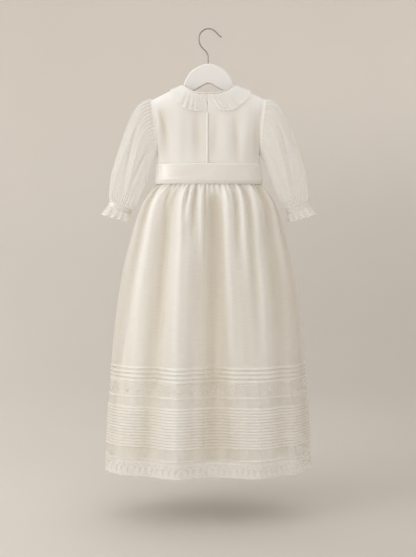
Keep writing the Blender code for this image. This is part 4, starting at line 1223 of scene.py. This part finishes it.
def sleeve_grid(rows=112, columns=256):
    """A right sleeve: rings carried from the armhole to the cuff by a smooth curve, gathered
    at head and wrist by uneven waves, with long soft creases between."""
    rings = [armhole_path(columns) + (2 * SEAM, 0.0, 0.0)]
    rings += [slanted_ring(row[:2], row[2:4], row[4], columns) for row in SLEEVE]
    rings = np.array(rings)
    gaps = np.linalg.norm(np.diff(rings.mean(axis=1), axis=0), axis=1)
    knots = np.concatenate(([0.0], np.cumsum(gaps)))
    along = np.linspace(0.0, 1.0, rows)
    grid = smooth(along * knots[-1], knots, rings)
    round_it = (np.arange(columns) / columns)[None, :]
    along = along[:, None]
    turn = 2 * math.pi * round_it
    uneven = 0.35 * np.sin(3 * turn + 1.0) + 0.25 * np.sin(7 * turn)
    head = np.sin(HEAD_GATHERS * turn + 2.0 * uneven) * (0.75 + 0.25 * np.sin(5 * turn))
    near_top = 0.25 + 0.75 * bell((round_it + 0.5) % 1.0 - 0.5, 0.22)
    head = HEAD_GATHER_DEPTH * near_top * head * ease(along, 0.0, 0.04) * (1.0 - ease(along, 0.05, 0.20))
    wrist = np.sin(WRIST_GATHERS * turn + 3.0 * uneven) * (0.75 + 0.25 * np.sin(4 * turn))
    wrist = WRIST_GATHER_DEPTH * wrist * ease(along, 0.80, 0.95) * (1.0 - 0.8 * ease(along, 0.97, 1.0))
    creases = 0.0
    for middle, centre, reach, breadth, height, twist in SLEEVE_CREASES:
        distance = (round_it - middle - twist * (along - centre) / reach + 0.5) % 1.0 - 0.5
        creases = creases + height * bell(distance, breadth) * bell(along - centre, reach)
    ends_free = ease(along, 0.0, 0.12) * (1.0 - ease(along, 0.90, 1.0))
    creases = creases * ends_free * bpy.context.scene.gown_sizes.crease_depth
    return grid + ring_normals(grid) * (head + wrist + creases)[..., None]


def closed_ring(grid):
    """A ring's grid with its first column repeated at its end."""
    return np.concatenate((grid, grid[:, :1]), axis=1)


class GOWN_OT_sleeves(bpy.types.Operator):
    """Full sheer sleeves, gathered at the head and into the cuff"""

    bl_idname = "gown.sleeves"
    bl_label = "Sleeves"

    def execute(self, context):
        grid = closed_ring(sleeve_grid())
        along = np.linspace(0.0, 1.0, len(grid))[:, None]
        plies = 1.0 + 1.5 * (1.0 - ease(along, 0.012, 0.03)) + 1.5 * ease(along, 0.985, 1.0)
        for name, sign in SIDES:
            piece = add_sheet("cloth_sleeve_" + name, grid * (sign, 1.0, 1.0), MATERIALS["organza"],
                              ["sleeve_" + name], "organza", inside=(sign * 160.0, 0.0, -250.0),
                              plies=plies)
        return {"FINISHED"}


class GOWN_OT_cuffs(bpy.types.Operator):
    """Satin cuff bands with piped edges, and the lace frills below them"""

    bl_idname = "gown.cuffs"
    bl_label = "Cuffs"

    def execute(self, context):
        sizes = context.scene.gown_sizes
        axis = ring_axis(CUFF_OUTER, CUFF_INNER)
        ring = slanted_ring(CUFF_OUTER, CUFF_INNER, CUFF_HALF_DEPTH, 160)
        across = np.linspace(0.0, 1.0, 13)
        crown = 0.5 * np.sin(math.pi * across)
        band = ring[None] + axis * (CUFF_HEIGHT * across)[:, None, None]
        band = closed_ring(band + ring_normals(band) * (crown - 0.4)[:, None, None])
        columns = 320
        start = slanted_ring(CUFF_OUTER, CUFF_INNER, CUFF_HALF_DEPTH - 0.2, columns)
        start = start + axis * (CUFF_HEIGHT + SEAM)
        end = slanted_ring(FRILL_OUTER, FRILL_INNER, FRILL_HALF_DEPTH, columns)
        share = np.linspace(0.0, 1.0, 20)[:, None, None]
        turn = 2 * math.pi * np.arange(columns)[None, :] / columns
        wave = np.sin(FRILL_WAVES * turn + 0.5 * np.sin(3 * turn))[..., None]
        fine = np.sin(31 * turn + 0.8 * np.sin(4 * turn))[..., None]
        scallop = np.abs(np.sin(26 * turn))[..., None]
        frill = start + (end - start) * share
        frill = frill + axis * 1.6 * scallop * ease(share, 0.8, 1.0)
        frill = frill + ring_normals(frill) * (wave * sizes.frill_wave * share
                                               + 0.7 * fine * np.sin(math.pi * share) - 0.5)
        frill = closed_ring(frill)
        plies = 1.0 + 2.0 * (1.0 - ease(share[..., 0], 0.05, 0.12)) + 2.0 * ease(share[..., 0], 0.93, 0.97)
        for name, sign in SIDES:
            flip = np.array((sign, 1.0, 1.0))
            inside = (sign * 190.0, 0.0, -385.0)
            piece = add_sheet("cloth_cuff_" + name, band * flip, MATERIALS["satin"], ["cuff_" + name],
                              "satin", inside=inside, wall=1.0)
            piece = add_sheet("cloth_cuff_frill_" + name, frill * flip, MATERIALS["lace"],
                              ["cuff_frill_" + name], "lace", inside=inside, plies=plies)
            loops = np.stack([row for row in (band[0], band[-1])]) * flip
            out = np.stack([ring_normals(band[:, :-1])[k] for k in (0, -1)])
            out = np.concatenate((out, out[:, :1]), axis=1) * flip
            mesh = cord_mesh(loops + out * 0.5, out, 0.75, 8)
            add_piece("cuff_piping_" + name, *mesh, MATERIALS["satin"], slot="satin", spread=mesh[0][:, [0, 2]])
            edge = cord_mesh((frill[-1:] * flip), unit(frill[-1:] - frill[-2:-1]) * flip, 0.45, 6)
            add_piece("cuff_frill_edge_" + name, *edge, MATERIALS["thread"], slot="lace")
        return {"FINISHED"}


def collar_grid(side_name, sign, rows=22, columns=321):
    """A collar half: rows from the neckline to the frilled edge, lifted off the bodice by
    waves that grow outwards."""
    table = COLLARS[side_name]
    along = np.linspace(0.0, 1.0, columns)[None, :]
    across = np.linspace(0.0, 1.0, rows)[:, None]
    neck_x, edge_x, edge_z = (read(table, COLLAR_COLUMNS, name, along) for name in COLLAR_COLUMNS[1:])
    behind = along <= 0.5
    neck_z = np.where(behind, neck_height(neck_x, BACK), neck_height(neck_x, FRONT))
    x = neck_x + (edge_x - neck_x) * across
    z = np.minimum(neck_z + (edge_z - neck_z) * across, ridge(x) - 0.05)
    phase = 2 * math.pi * COLLAR_WAVES * along + 1.1 * np.sin(9.0 * along + sign)
    uneven = 0.55 + 0.35 * np.sin(13.0 * along + 2.0 * sign) + 0.15 * np.sin(29.0 * along)
    wave = uneven * (1.0 - np.cos(phase)) / 2 + 0.10 * np.sin(2.3 * phase) * across
    rise = 1.0 + COLLAR_LIFT * across + bpy.context.scene.gown_sizes.collar_wave * wave * across
    back, _ = bodice_spot(sign * x, z, BACK, rise)
    front, _ = bodice_spot(sign * x, z, FRONT, rise)
    grid = np.where(behind[..., None], back, front)
    middle = np.abs(along - 0.5) < 1e-6
    grid[..., 1] = np.where(middle, 0.0, grid[..., 1])
    return grid


class GOWN_OT_collar(bpy.types.Operator):
    """Frilled collar in two halves, with rolled edges"""

    bl_idname = "gown.collar"
    bl_label = "Collar"

    def execute(self, context):
        for name, sign in SIDES:
            grid = collar_grid(name, sign)
            across = np.linspace(0.0, 1.0, len(grid))[:, None]
            plies = 1.1 + 0.9 * (1.0 - across) ** 2 + 1.0 * ease(across, 0.94, 0.97) + 0.0 * grid[..., 0]
            piece = add_sheet("cloth_collar_" + name, grid, MATERIALS["organza"], ["collar_" + name],
                              "organza", inside=(sign * 40.0, 0.0, -170.0), plies=plies)
            edge = cord_mesh(grid[-1:], unit(grid[-1:] - grid[-2:-1]), 0.4, 6)
            add_piece("collar_edge_" + name, *edge, MATERIALS["thread"], slot="organza")
        return {"FINISHED"}


def neck_path():
    """The binding's line: the middle of the bodice's top edge, raised up and in, from the
    right of the centre back, round the front, to the left of the centre back."""
    share = np.linspace(0.0, NECK_SHARE, 40)
    spots = {}
    for side in (BACK, FRONT):
        outer = bodice_grid(side, share, [0.0])[0]
        inner = bodice_grid(side, share, [0.0], BODICE_CLOTH)[0]
        spots[side] = (outer + inner) / 2.0
        spots[side][-1, 1] = 0.0
    right = np.concatenate((spots[BACK], spots[FRONT][-2::-1]))
    left = right[::-1] * (-1.0, 1.0, 1.0)
    back_of_left = left[:, 1] < 0.0
    left[:, 0] += np.where(back_of_left, 2.0 * CENTRE_BACK_BODICE * (1.0 - np.abs(left[:, 0]) / 118.0) ** 2, 0.0)
    path = np.concatenate((right, left[1:]))
    tangents = unit(np.gradient(path, axis=0))
    up_and_in = np.stack((-np.sign(path[:, 0]), 0.0 * path[:, 0], 1.0 + 0.0 * path[:, 0]), axis=-1)
    normal = unit(np.cross(tangents, np.cross(tangents, up_and_in)))
    path = path - normal * BINDING_RISE
    path[0, 0] = CENTRE_BACK_BODICE + BINDING_OPENING
    path[-1, 0] = CENTRE_BACK_BODICE - BINDING_OPENING
    return path


class GOWN_OT_neck(bpy.types.Operator):
    """Rolled satin neck binding, and the placket under the back opening"""

    bl_idname = "gown.neck"
    bl_label = "Neck binding and placket"

    def execute(self, context):
        path = neck_path()
        length = np.concatenate(([0.0], np.cumsum(np.linalg.norm(np.diff(path, axis=0), axis=1))))
        even = np.linspace(0.0, length[-1], 300)
        path = np.stack([np.interp(even, length, path[:, k]) for k in range(3)], axis=-1)
        radius = BINDING_RADIUS * (0.96 + 0.05 * np.sin(even / 1.9) + 0.03 * np.sin(even / 4.3))
        vertices, quads = cord_mesh(path[None], np.array((0.0, 0.0, 1.0)), radius[None], 12)
        spread = np.stack((np.repeat(even, 12), np.tile(np.arange(12) * 0.8, 300)), axis=-1)
        add_piece("cloth_neck_binding", vertices, quads, MATERIALS["satin"], ["neck_binding"], "satin", spread)

        x = np.linspace(PLACKET_LEFT, PLACKET_RIGHT, 27)[None, :]
        z = np.linspace(PLACKET_TOP, PLACKET_END, 60)[:, None]
        x, z = np.broadcast_arrays(x, z)
        border = np.minimum(np.minimum(x - PLACKET_LEFT, PLACKET_RIGHT - x), z - PLACKET_END)
        lift = 0.7 + 0.5 * ease(border, 0.0, 0.9) - 0.35 * bell(border - 2.4, 0.5)
        grid, _ = bodice_spot(x, z, BACK, lift)
        plies = 1.0 + 1.4 * (1.0 - ease(border, 2.0, 3.0))
        piece = add_sheet("cloth_placket", grid, MATERIALS["organza"], ["placket"], "organza", plies=plies)
        return {"FINISHED"}


class GOWN_OT_sash(bpy.types.Operator):
    """Satin sash over the waist seam, with soft folds along it"""

    bl_idname = "gown.sash"
    bl_label = "Sash"

    def execute(self, context):
        places = np.linspace(-1.0, 1.0, 201)[None, :]
        z = np.linspace(SASH[0][0], SASH[-1][0], 36)[:, None]
        share = (SASH[0][0] - z) / (SASH[0][0] - SASH[-1][0])
        edges = np.sqrt(np.clip(1.0 - np.abs(2 * share - 1.0) ** 14, 0.0, 1.0))
        for name, side in (("back", BACK), ("front", FRONT)):
            stand = (SASH_CLOTH - 0.5) * edges + 0.3 - 2.1 * ease(share, 0.80, 1.0)
            lap = ease(places, -0.30, -0.50) if side == BACK else ease(places, 0.30, 0.55)
            stand = stand + 0.9 * lap * ease(share, 0.70, 0.73) - 0.5 * lap * bell(share - 0.84, 0.025)
            stand = stand + 0.5 * bell(places - 0.62 - 0.08 * share, 0.012) * np.sin(math.pi * share)
            stand = stand - 0.6 * bell(places + 0.80 - 0.05 * share, 0.02) * np.sin(math.pi * share)
            stand = stand + 0.35 * np.sin(9.0 * places + 3.0 * share + side) * np.sin(math.pi * share)
            half_width, half_depth = (read(SASH, SASH_COLUMNS, column, z) for column in SASH_COLUMNS[1:])
            grid = np.stack(np.broadcast_arrays(*on_oval(places, z, side, half_width, half_depth, stand)), axis=-1)
            piece = add_sheet("cloth_sash_" + name, grid, MATERIALS["satin"], ["sash_" + name], "satin", wall=0.5)
        return {"FINISHED"}


def hanger_outline():
    """The board's outline: hump, shoulders, rounded ends and arched underside, in one
    closed line. Each point of the top has its partner under it on the underside, so the
    points are spaced evenly along the hump, round the arm, and along the arch."""
    shoulder = [(x, float(ridge(x)) - HANGER_DROP) for x in HANGER_SHOULDER]
    right = list(HANGER_HUMP) + shoulder + list(HANGER_END) + list(HANGER_UNDER)
    left = [(-x, z) for x, z in reversed(right[1:-1])]
    corners = np.array(right + left + right[:1])
    length = np.concatenate(([0.0], np.cumsum(np.linalg.norm(np.diff(corners, axis=0), axis=1))))
    corner = length[len(HANGER_HUMP) - 1]
    arch = len(right) - len(HANGER_UNDER)
    run = length[arch] - length[arch - 1]
    share = (HANGER_END[-1][0] - HANGER_HUMP[-1][0]) / (HANGER_END[-1][0] - HANGER_UNDER[0][0])
    partner = length[arch - 1] + share * run
    whole = length[-1]
    spaced = np.interp(np.arange(480), (0, 90, 150, 240, 330, 390, 480),
                       (0.0, corner, partner, whole / 2, whole - partner, whole - corner, whole))
    return np.stack([np.interp(spaced, length, corners[:, k]) for k in range(2)], axis=-1)


class GOWN_OT_hanger(bpy.types.Operator):
    """White painted wooden hanger and its wire hook"""

    bl_idname = "gown.hanger"
    bl_label = "Hanger and hook"

    def execute(self, context):
        outline = hanger_outline()
        tangent = unit(np.roll(outline, -1, axis=0) - np.roll(outline, 1, axis=0))
        inward = np.stack((tangent[:, 1], -tangent[:, 0]), axis=-1)
        turn = np.linspace(0.0, math.pi / 2, 6)
        inset = HANGER_ROUNDING * (1.0 - np.sin(turn))
        depth = HANGER_THICKNESS / 2 - HANGER_ROUNDING * (1.0 - np.cos(turn))
        inset = np.concatenate(([4.5], inset, inset[::-1], [4.5]))
        depth = np.concatenate(([depth[0]], depth, -depth[::-1], [-depth[0]]))
        x = outline[None, :, 0] + inward[None, :, 0] * inset[:, None]
        z = outline[None, :, 1] + inward[None, :, 1] * inset[:, None]
        grid = np.stack(np.broadcast_arrays(x, depth[:, None], z), axis=-1)
        count = grid.shape[1]
        quads = grid_quads(len(grid), count, ring=True)
        half = count // 2
        first = np.arange(half // 2)
        right = np.stack((first, first + 1, half - first - 1, half - first), axis=-1)
        left = np.stack((half + first, half + first + 1, count - first - 1, (count - first) % count), axis=-1)
        cap = np.concatenate((right, left))
        quads = np.concatenate((quads, cap[:, ::-1], cap + (len(grid) - 1) * count))
        vertices = grid.reshape(-1, 3)
        piece = add_piece("wooden_hanger", vertices, facing_out(vertices, quads), MATERIALS["paint"],
                          ["hanger"], "painted_wood")
        return {"FINISHED"} if piece else {"CANCELLED"}


class GOWN_OT_hook(bpy.types.Operator):
    """Bent wire hook with a rounded tip"""

    bl_idname = "gown.hook"
    bl_label = "Hook"

    def execute(self, context):
        route = np.array([(x, 0.0, z) for x, z in HOOK_ROUTE])
        knots = np.concatenate(([0.0], np.cumsum(np.linalg.norm(np.diff(route, axis=0), axis=1))))
        slopes = np.gradient(route, knots, axis=0)
        even = np.linspace(0.0, knots[-1], 160)
        low = np.clip(np.searchsorted(knots, even, side="right") - 1, 0, len(knots) - 2)
        width = (knots[low + 1] - knots[low])[:, None]
        t = (even - knots[low])[:, None] / width
        path = ((1 + 2 * t) * (1 - t) ** 2 * route[low] + t * (1 - t) ** 2 * width * slopes[low]
                + t * t * (3 - 2 * t) * route[low + 1] - t * t * (1 - t) * width * slopes[low + 1])
        tip = HOOK_RADIUS * np.sqrt(np.clip(1.0 - (1.0 - (even[-1] - even) / HOOK_RADIUS).clip(0.0) ** 2, 0.02, 1.0))
        vertices, quads = cord_mesh(path[None], np.array((0.0, 1.0, 0.0)), tip[None], 14)
        add_piece("wire_hook", vertices, quads, MATERIALS["wire"], ["hook"], "hook_wire")
        return {"FINISHED"}


def motif_places(panel, side, start, end, z, pitch):
    """Even middles for a repeat along a panel, and the place that one millimetre takes."""
    fine = np.linspace(start, end, 400)
    row = skirt_cloth(side, fine, z)
    length = np.linalg.norm(np.diff(row, axis=0), axis=1).sum()
    count = max(1, int(round(length / pitch)))
    step = (end - start) / count
    return start + step * (np.arange(count) + 0.5), (end - start) / length


def flowers(side, places, z, per_mm, petals, size):
    """Raised flowers: petals set round each middle, with a small bead in it."""
    turn = (np.arange(petals) * 2 * math.pi / petals + 0.3)[None, :]
    u = (places[:, None] + np.cos(turn) * size * 0.62 * per_mm).ravel()
    v = (z + np.sin(turn) * size * 0.62 + 0.0 * places[:, None]).ravel()
    centre, along, out = frame_on(skirt_cloth, side, u, v)
    middle, along_middle, out_middle = frame_on(skirt_cloth, side, places, z + 0.0 * places)
    spoke = unit(centre - np.repeat(middle, petals, axis=0))
    petal = bead_mesh(centre + out * 0.25, spoke, out, size * 0.95, size * 0.55, 0.8)
    eye = bead_mesh(middle + out_middle * 0.4, along_middle, out_middle, size * 0.4, size * 0.4, 0.9)
    return [petal, eye]


def leaves(side, places, z, per_mm, reach, size):
    """Pairs of small leaves on either side of each middle, leaning up and down."""
    parts = []
    for across, lean in ((1.0, 0.6), (-1.0, -0.6)):
        u = places + across * reach * per_mm
        centre, along, out = frame_on(skirt_cloth, side, u, z + lean * 1.6 + 0.0 * places)
        leaf = unit(along + np.array((0.0, 0.0, 1.0)) * lean)
        parts.append(bead_mesh(centre + out * 0.25, leaf, out, size, size * 0.42, 0.7))
    return parts


def surface_cord(side, u, v, radius, lift, sides=6):
    """A cord laid on the skirt along places u and heights v."""
    centre, _, out = frame_on(skirt_cloth, side, u, v)
    return cord_mesh((centre + out * lift)[None], out[None], radius, sides)


class GOWN_OT_embroidery(bpy.types.Operator):
    """Corded loops, flowers and edging of the hem lace, and the insertion's sprigs"""

    bl_idname = "gown.embroidery"
    bl_label = "Embroidery"

    def execute(self, context):
        thread = context.scene.gown_sizes.thread
        for panel, side, start, end in PANELS:
            lace = self.hem_lace(panel, side, start, end, thread)
            add_piece("hem_lace_cords_" + panel, *joined(lace), MATERIALS["lace_thread"], slot="lace")
            sprigs = self.insertion(panel, side, start, end, thread)
            add_piece("insertion_sprigs_" + panel, *joined(sprigs), MATERIALS["lace_thread"], slot="lace")
        return {"FINISHED"}

    def hem_lace(self, panel, side, start, end, thread):
        """Two looping cords that cross, a flower in each loop, and a scalloped edge."""
        middle = (TUCKED_END + HEM) / 2 - 1.0
        places, per_mm = motif_places(panel, side, start, end, middle, 26.0)
        turn = np.linspace(0.0, 2 * math.pi * len(places), 40 * len(places) + 1)
        step = (end - start) / len(places)
        parts = []
        for flip in (1.0, -1.0):
            u = start + step * (turn / (2 * math.pi) + 0.22 * np.sin(turn + (flip < 0) * math.pi))
            u = np.clip(u, start, end)
            v = middle + flip * 10.0 * np.cos(turn)
            parts.append(surface_cord(side, u, v, thread, 0.1))
        parts += flowers(side, places, middle + 0.0, per_mm, 5, 3.8)
        parts += leaves(side, places + step / 2, middle, per_mm, 4.0, 3.8)
        count = 6 * len(places)
        turn = np.linspace(0.0, math.pi * count, 10 * count + 1)
        u = np.linspace(start, end, len(turn))
        parts.append(surface_cord(side, u, HEM + 1.6 - 2.4 * np.abs(np.sin(turn)), 0.5, 0.0))
        u = np.linspace(start, end, 240)
        for height in (TUCKED_END + 0.3, TUCKED_END - 2.2):
            parts.append(surface_cord(side, u, height + 0.0 * u, 0.5, 0.2))
        return parts

    def insertion(self, panel, side, start, end, thread):
        """Small flowers and leaves on a waving stem, and the corded seams above and below."""
        middle = (SKIRT_END + INSERTION_END) / 2
        places, per_mm = motif_places(panel, side, start, end, middle, 24.0)
        turn = np.linspace(0.0, 2 * math.pi * len(places), 24 * len(places) + 1)
        u = np.linspace(start, end, len(turn))
        parts = [surface_cord(side, u, middle + 3.2 * np.cos(turn), thread * 0.5, -0.1)]
        parts += flowers(side, places, middle - 3.2 + 0.0, per_mm, 5, 2.6)
        parts += leaves(side, places + (end - start) / len(places) / 2, middle + 3.2, per_mm, 3.0, 2.8)
        u = np.linspace(start, end, 240)
        for height in (SKIRT_END - 0.1, INSERTION_END - 0.1):
            parts.append(surface_cord(side, u, height + 0.0 * u, 0.45, 0.2))
        return parts


class GOWN_OT_stitching(bpy.types.Operator):
    """Machine stitching and corded seams on bodice, sleeves, skirt and lining"""

    bl_idname = "gown.stitching"
    bl_label = "Stitching"

    def execute(self, context):
        pitch = context.scene.gown_sizes.stitch_pitch
        parts = self.skirt_seams(pitch) + self.lining_hem(pitch) + self.bodice_seams(pitch)
        add_piece("stitching", *joined(parts), MATERIALS["thread"], slot="organza")
        path = armhole_path(160)
        path = np.concatenate((path, path[:1]))
        cords = [cord_mesh((path * (sign, 1.0, 1.0) + (sign * 0.3, 0.0, 0.0))[None],
                           np.array((1.0, 0.0, 0.0)), 0.9, 8) for _, sign in SIDES]
        add_piece("armhole_seams", *joined(cords), MATERIALS["thread"], slot="bodice_cloth")
        return {"FINISHED"}

    def skirt_seams(self, pitch):
        """The centre back seam and both side seams of the skirt."""
        parts = []
        z = np.linspace(-327.0, TUCKED_END + 2.0, 400)
        for side, place in ((BACK, 0.0), (BACK, -0.996), (BACK, 0.996)):
            path, _, out = frame_on(skirt_cloth, side, place + 0.0 * z, z)
            parts.append(stitches_along(path, out, pitch, 0.0))
        return parts

    def lining_hem(self, pitch):
        """One line of stitches over the lining's turned hem."""
        parts = []
        u = np.linspace(-0.998, 0.998, 400)
        for side in (BACK, FRONT):
            path, _, out = frame_on(lining_cloth, side, u, LINING_HEM + 11.0 + 0.0 * u)
            parts.append(stitches_along(path, out, pitch, 0.1))
        return parts

    def bodice_seams(self, pitch):
        """Centre back seam below the placket, placket edges and armhole seams."""
        parts = []
        z = np.linspace(PLACKET_END - 1.0, -283.0, 120)
        path, out = bodice_spot(CENTRE_BACK_BODICE + 0.0 * z, z, BACK, 0.5)
        parts.append(cord_mesh((path + out * 0.6)[None], out[None], 1.35, 8))
        for offset in (-5.5, 3.0):
            path, out = bodice_spot(CENTRE_BACK_BODICE + offset + 0.0 * z, z, BACK, 0.0)
            parts.append(stitches_along(path, out, pitch, 0.3))
        for x in (PLACKET_LEFT + 1.6, PLACKET_RIGHT - 1.6):
            z = np.linspace(PLACKET_TOP - 1.0, PLACKET_END + 1.6, 60)
            path, out = bodice_spot(x + 0.0 * z, z, BACK, 1.0)
            parts.append(stitches_along(path, out, 2.0, 0.2))
        x = np.linspace(PLACKET_LEFT + 1.6, PLACKET_RIGHT - 1.6, 20)
        path, out = bodice_spot(x, PLACKET_END + 1.6 + 0.0 * x, BACK, 1.0)
        parts.append(stitches_along(path, out, 2.0, 0.2))
        for _, sign in SIDES:
            for side in (BACK, FRONT):
                edge = bodice_grid(side, np.array([0.965]), np.linspace(0.03, 0.97, 160))[:, 0]
                out = np.stack((0.3 + 0.0 * edge[:, 0], side + 0.0 * edge[:, 0], 0.2 + 0.0 * edge[:, 0]), axis=-1)
                flip = np.array((sign, 1.0, 1.0))
                parts.append(stitches_along(edge * flip, unit(out * flip), pitch, 0.2))
        return parts


class GOWN_OT_stage(bpy.types.Operator):
    """Pale floor and round backdrop, soft studio lights and the camera"""

    bl_idname = "gown.stage"
    bl_label = "Stage"

    def execute(self, context):
        look = context.scene.stage_look
        self.backdrop(look)
        lamps = (("left", (-2.2, -1.1, 0.45), 1.0),
                 ("top_left", (-1.0, -0.8, 1.9), 0.2),
                 ("right_front", (1.9, -1.9, 0.2), 0.18))
        for name, place, share in lamps:
            self.lamp(name, place, 1.6, share * look.key_power)
        world = bpy.data.worlds.new("pale_sky")
        world.use_nodes = True
        sky = world.node_tree.nodes["Background"]
        sky.inputs["Color"].default_value = (1.0, 0.99, 0.975, 1.0)
        sky.inputs["Strength"].default_value = look.sky
        context.scene.world = world
        context.scene.view_settings.view_transform = "Standard"
        camera = bpy.data.objects.new("camera", bpy.data.cameras.new("camera"))
        camera.data.lens = CAMERA_LENS
        camera.location = CAMERA_PLACE
        camera.rotation_euler = (math.radians(90.0 + CAMERA_PITCH), 0.0, 0.0)
        context.scene.collection.objects.link(camera)
        context.scene.camera = camera
        return {"FINISHED"}

    def backdrop(self, look):
        """A bowl: a flat floor, a quarter circle, and a wall, turned about the gown. Its paint
        carries painted light, lighter on the left and towards the wall's top.
        """
        cove = 1.9
        bend = np.linspace(0.0, math.pi / 2, 24)
        flat = np.linspace(0.02, look.radius - cove, 12)
        radius = np.concatenate((flat, look.radius - cove + cove * np.sin(bend)[1:], [look.radius]))
        height = np.concatenate((0.0 * flat, cove - cove * np.cos(bend)[1:], [3.2])) + look.floor_height
        turn = np.arange(96)[None, :] * 2 * math.pi / 96
        grid = np.stack(np.broadcast_arrays(radius[:, None] * np.cos(turn), radius[:, None] * np.sin(turn),
                                            height[:, None]), axis=-1) / METRE
        vertices = grid.reshape(-1, 3)
        quads = grid_quads(len(radius), 96, ring=True)
        fan = np.stack([np.array((0, k, k + 1, k + 2)) for k in range(1, 94, 2)])
        quads = facing_out(vertices, np.concatenate((quads, fan[:, ::-1])), (0.0, 0.0, 0.0))[:, ::-1]
        material, tree, shader = new_material("backdrop_paint_and_painted_light", Roughness=0.9, Specular_IOR_Level=0.2)
        place = shader_node(tree, "ShaderNodeTexCoord").outputs["Object"]
        split = shader_node(tree, "ShaderNodeSeparateXYZ", Vector=place)
        # Painted light: the paint is lighter on the left and darker on the right near the floor, and evens out
        # brighter towards the wall's top; a faint random mottle lies over it.
        aside = shader_node(tree, "ShaderNodeMapRange", From_Min=-1.0, From_Max=1.0, To_Min=1.09, To_Max=0.85,
                            Value=split.outputs["X"])
        rise = shader_node(tree, "ShaderNodeMapRange", {"interpolation_type": "SMOOTHSTEP"},
                           From_Min=-1.05, From_Max=0.45, Value=split.outputs["Z"])
        painted_top_light = calculate(tree, "MULTIPLY", calculate(tree, "SUBTRACT", 1.18, aside.outputs[0]), rise.outputs[0])
        light = calculate(tree, "ADD", aside.outputs[0], painted_top_light)
        cloud = streaks(tree, place, 1.3, 1.3, 4.0)
        uneven = calculate(tree, "MULTIPLY", light, calculate(tree, "MULTIPLY_ADD", cloud, 0.08, 0.96))
        paint = shader_node(tree, "ShaderNodeVectorMath", {"operation": "SCALE"},
                            Vector=tuple(look.wall), Scale=uneven)
        tree.links.new(paint.outputs["Vector"], shader.inputs["Base Color"])
        mesh = bpy.data.meshes.new("backdrop")
        mesh.from_pydata((vertices * METRE).tolist(), [], quads.tolist())
        mesh.shade_smooth()
        mesh.materials.append(material)
        made = bpy.data.objects.new("backdrop", mesh)
        bpy.context.scene.collection.objects.link(made)

    def lamp(self, name, place, size, power):
        """A square soft light that looks at the gown's middle and isn't seen itself."""
        light = bpy.data.lights.new(name, "AREA")
        light.size, light.energy = size, power
        made = bpy.data.objects.new(name, light)
        made.location = place
        away = Vector(place) - Vector((0.0, 0.0, -0.5))
        made.rotation_euler = away.to_track_quat("Z", "Y").to_euler()
        made.visible_camera = False
        bpy.context.scene.collection.objects.link(made)


STEPS = (GOWN_OT_bodice, GOWN_OT_skirt, GOWN_OT_hem_lace, GOWN_OT_lining, GOWN_OT_sleeves,
         GOWN_OT_cuffs, GOWN_OT_collar, GOWN_OT_neck, GOWN_OT_sash, GOWN_OT_hanger, GOWN_OT_hook,
         GOWN_OT_embroidery, GOWN_OT_stitching, GOWN_OT_stage)


class GOWN_PT_panel(bpy.types.Panel):
    """Sizes, colours and steps of the christening gown"""

    bl_idname = "GOWN_PT_panel"
    bl_label = "Christening gown"
    bl_space_type = "VIEW_3D"
    bl_region_type = "UI"
    bl_category = "Gown"

    def draw(self, context):
        scene = context.scene
        for group in (scene.gown_sizes, scene.gown_colours, scene.stage_look):
            box = self.layout.box()
            for name in group.__annotations__:
                box.prop(group, name)
        for step in STEPS:
            self.layout.operator(step.bl_idname)


GROUPS = (("gown_sizes", GownSizes), ("gown_colours", GownColours), ("stage_look", StageLook))


def register():
    """Registers the settings, the steps and the panel."""
    for name, group in GROUPS:
        bpy.utils.register_class(group)
        setattr(bpy.types.Scene, name, bpy.props.PointerProperty(type=group))
    for step in STEPS + (GOWN_PT_panel,):
        bpy.utils.register_class(step)


def unregister():
    """Takes them away again."""
    for step in reversed(STEPS + (GOWN_PT_panel,)):
        bpy.utils.unregister_class(step)
    for name, group in reversed(GROUPS):
        delattr(bpy.types.Scene, name)
        bpy.utils.unregister_class(group)


def main():
    """Dresses the frame, one step after another."""
    register()
    make_materials()
    for step in STEPS:
        area, action = step.bl_idname.split(".")
        getattr(getattr(bpy.ops, area), action)()


if __name__ == "__main__":
    main()
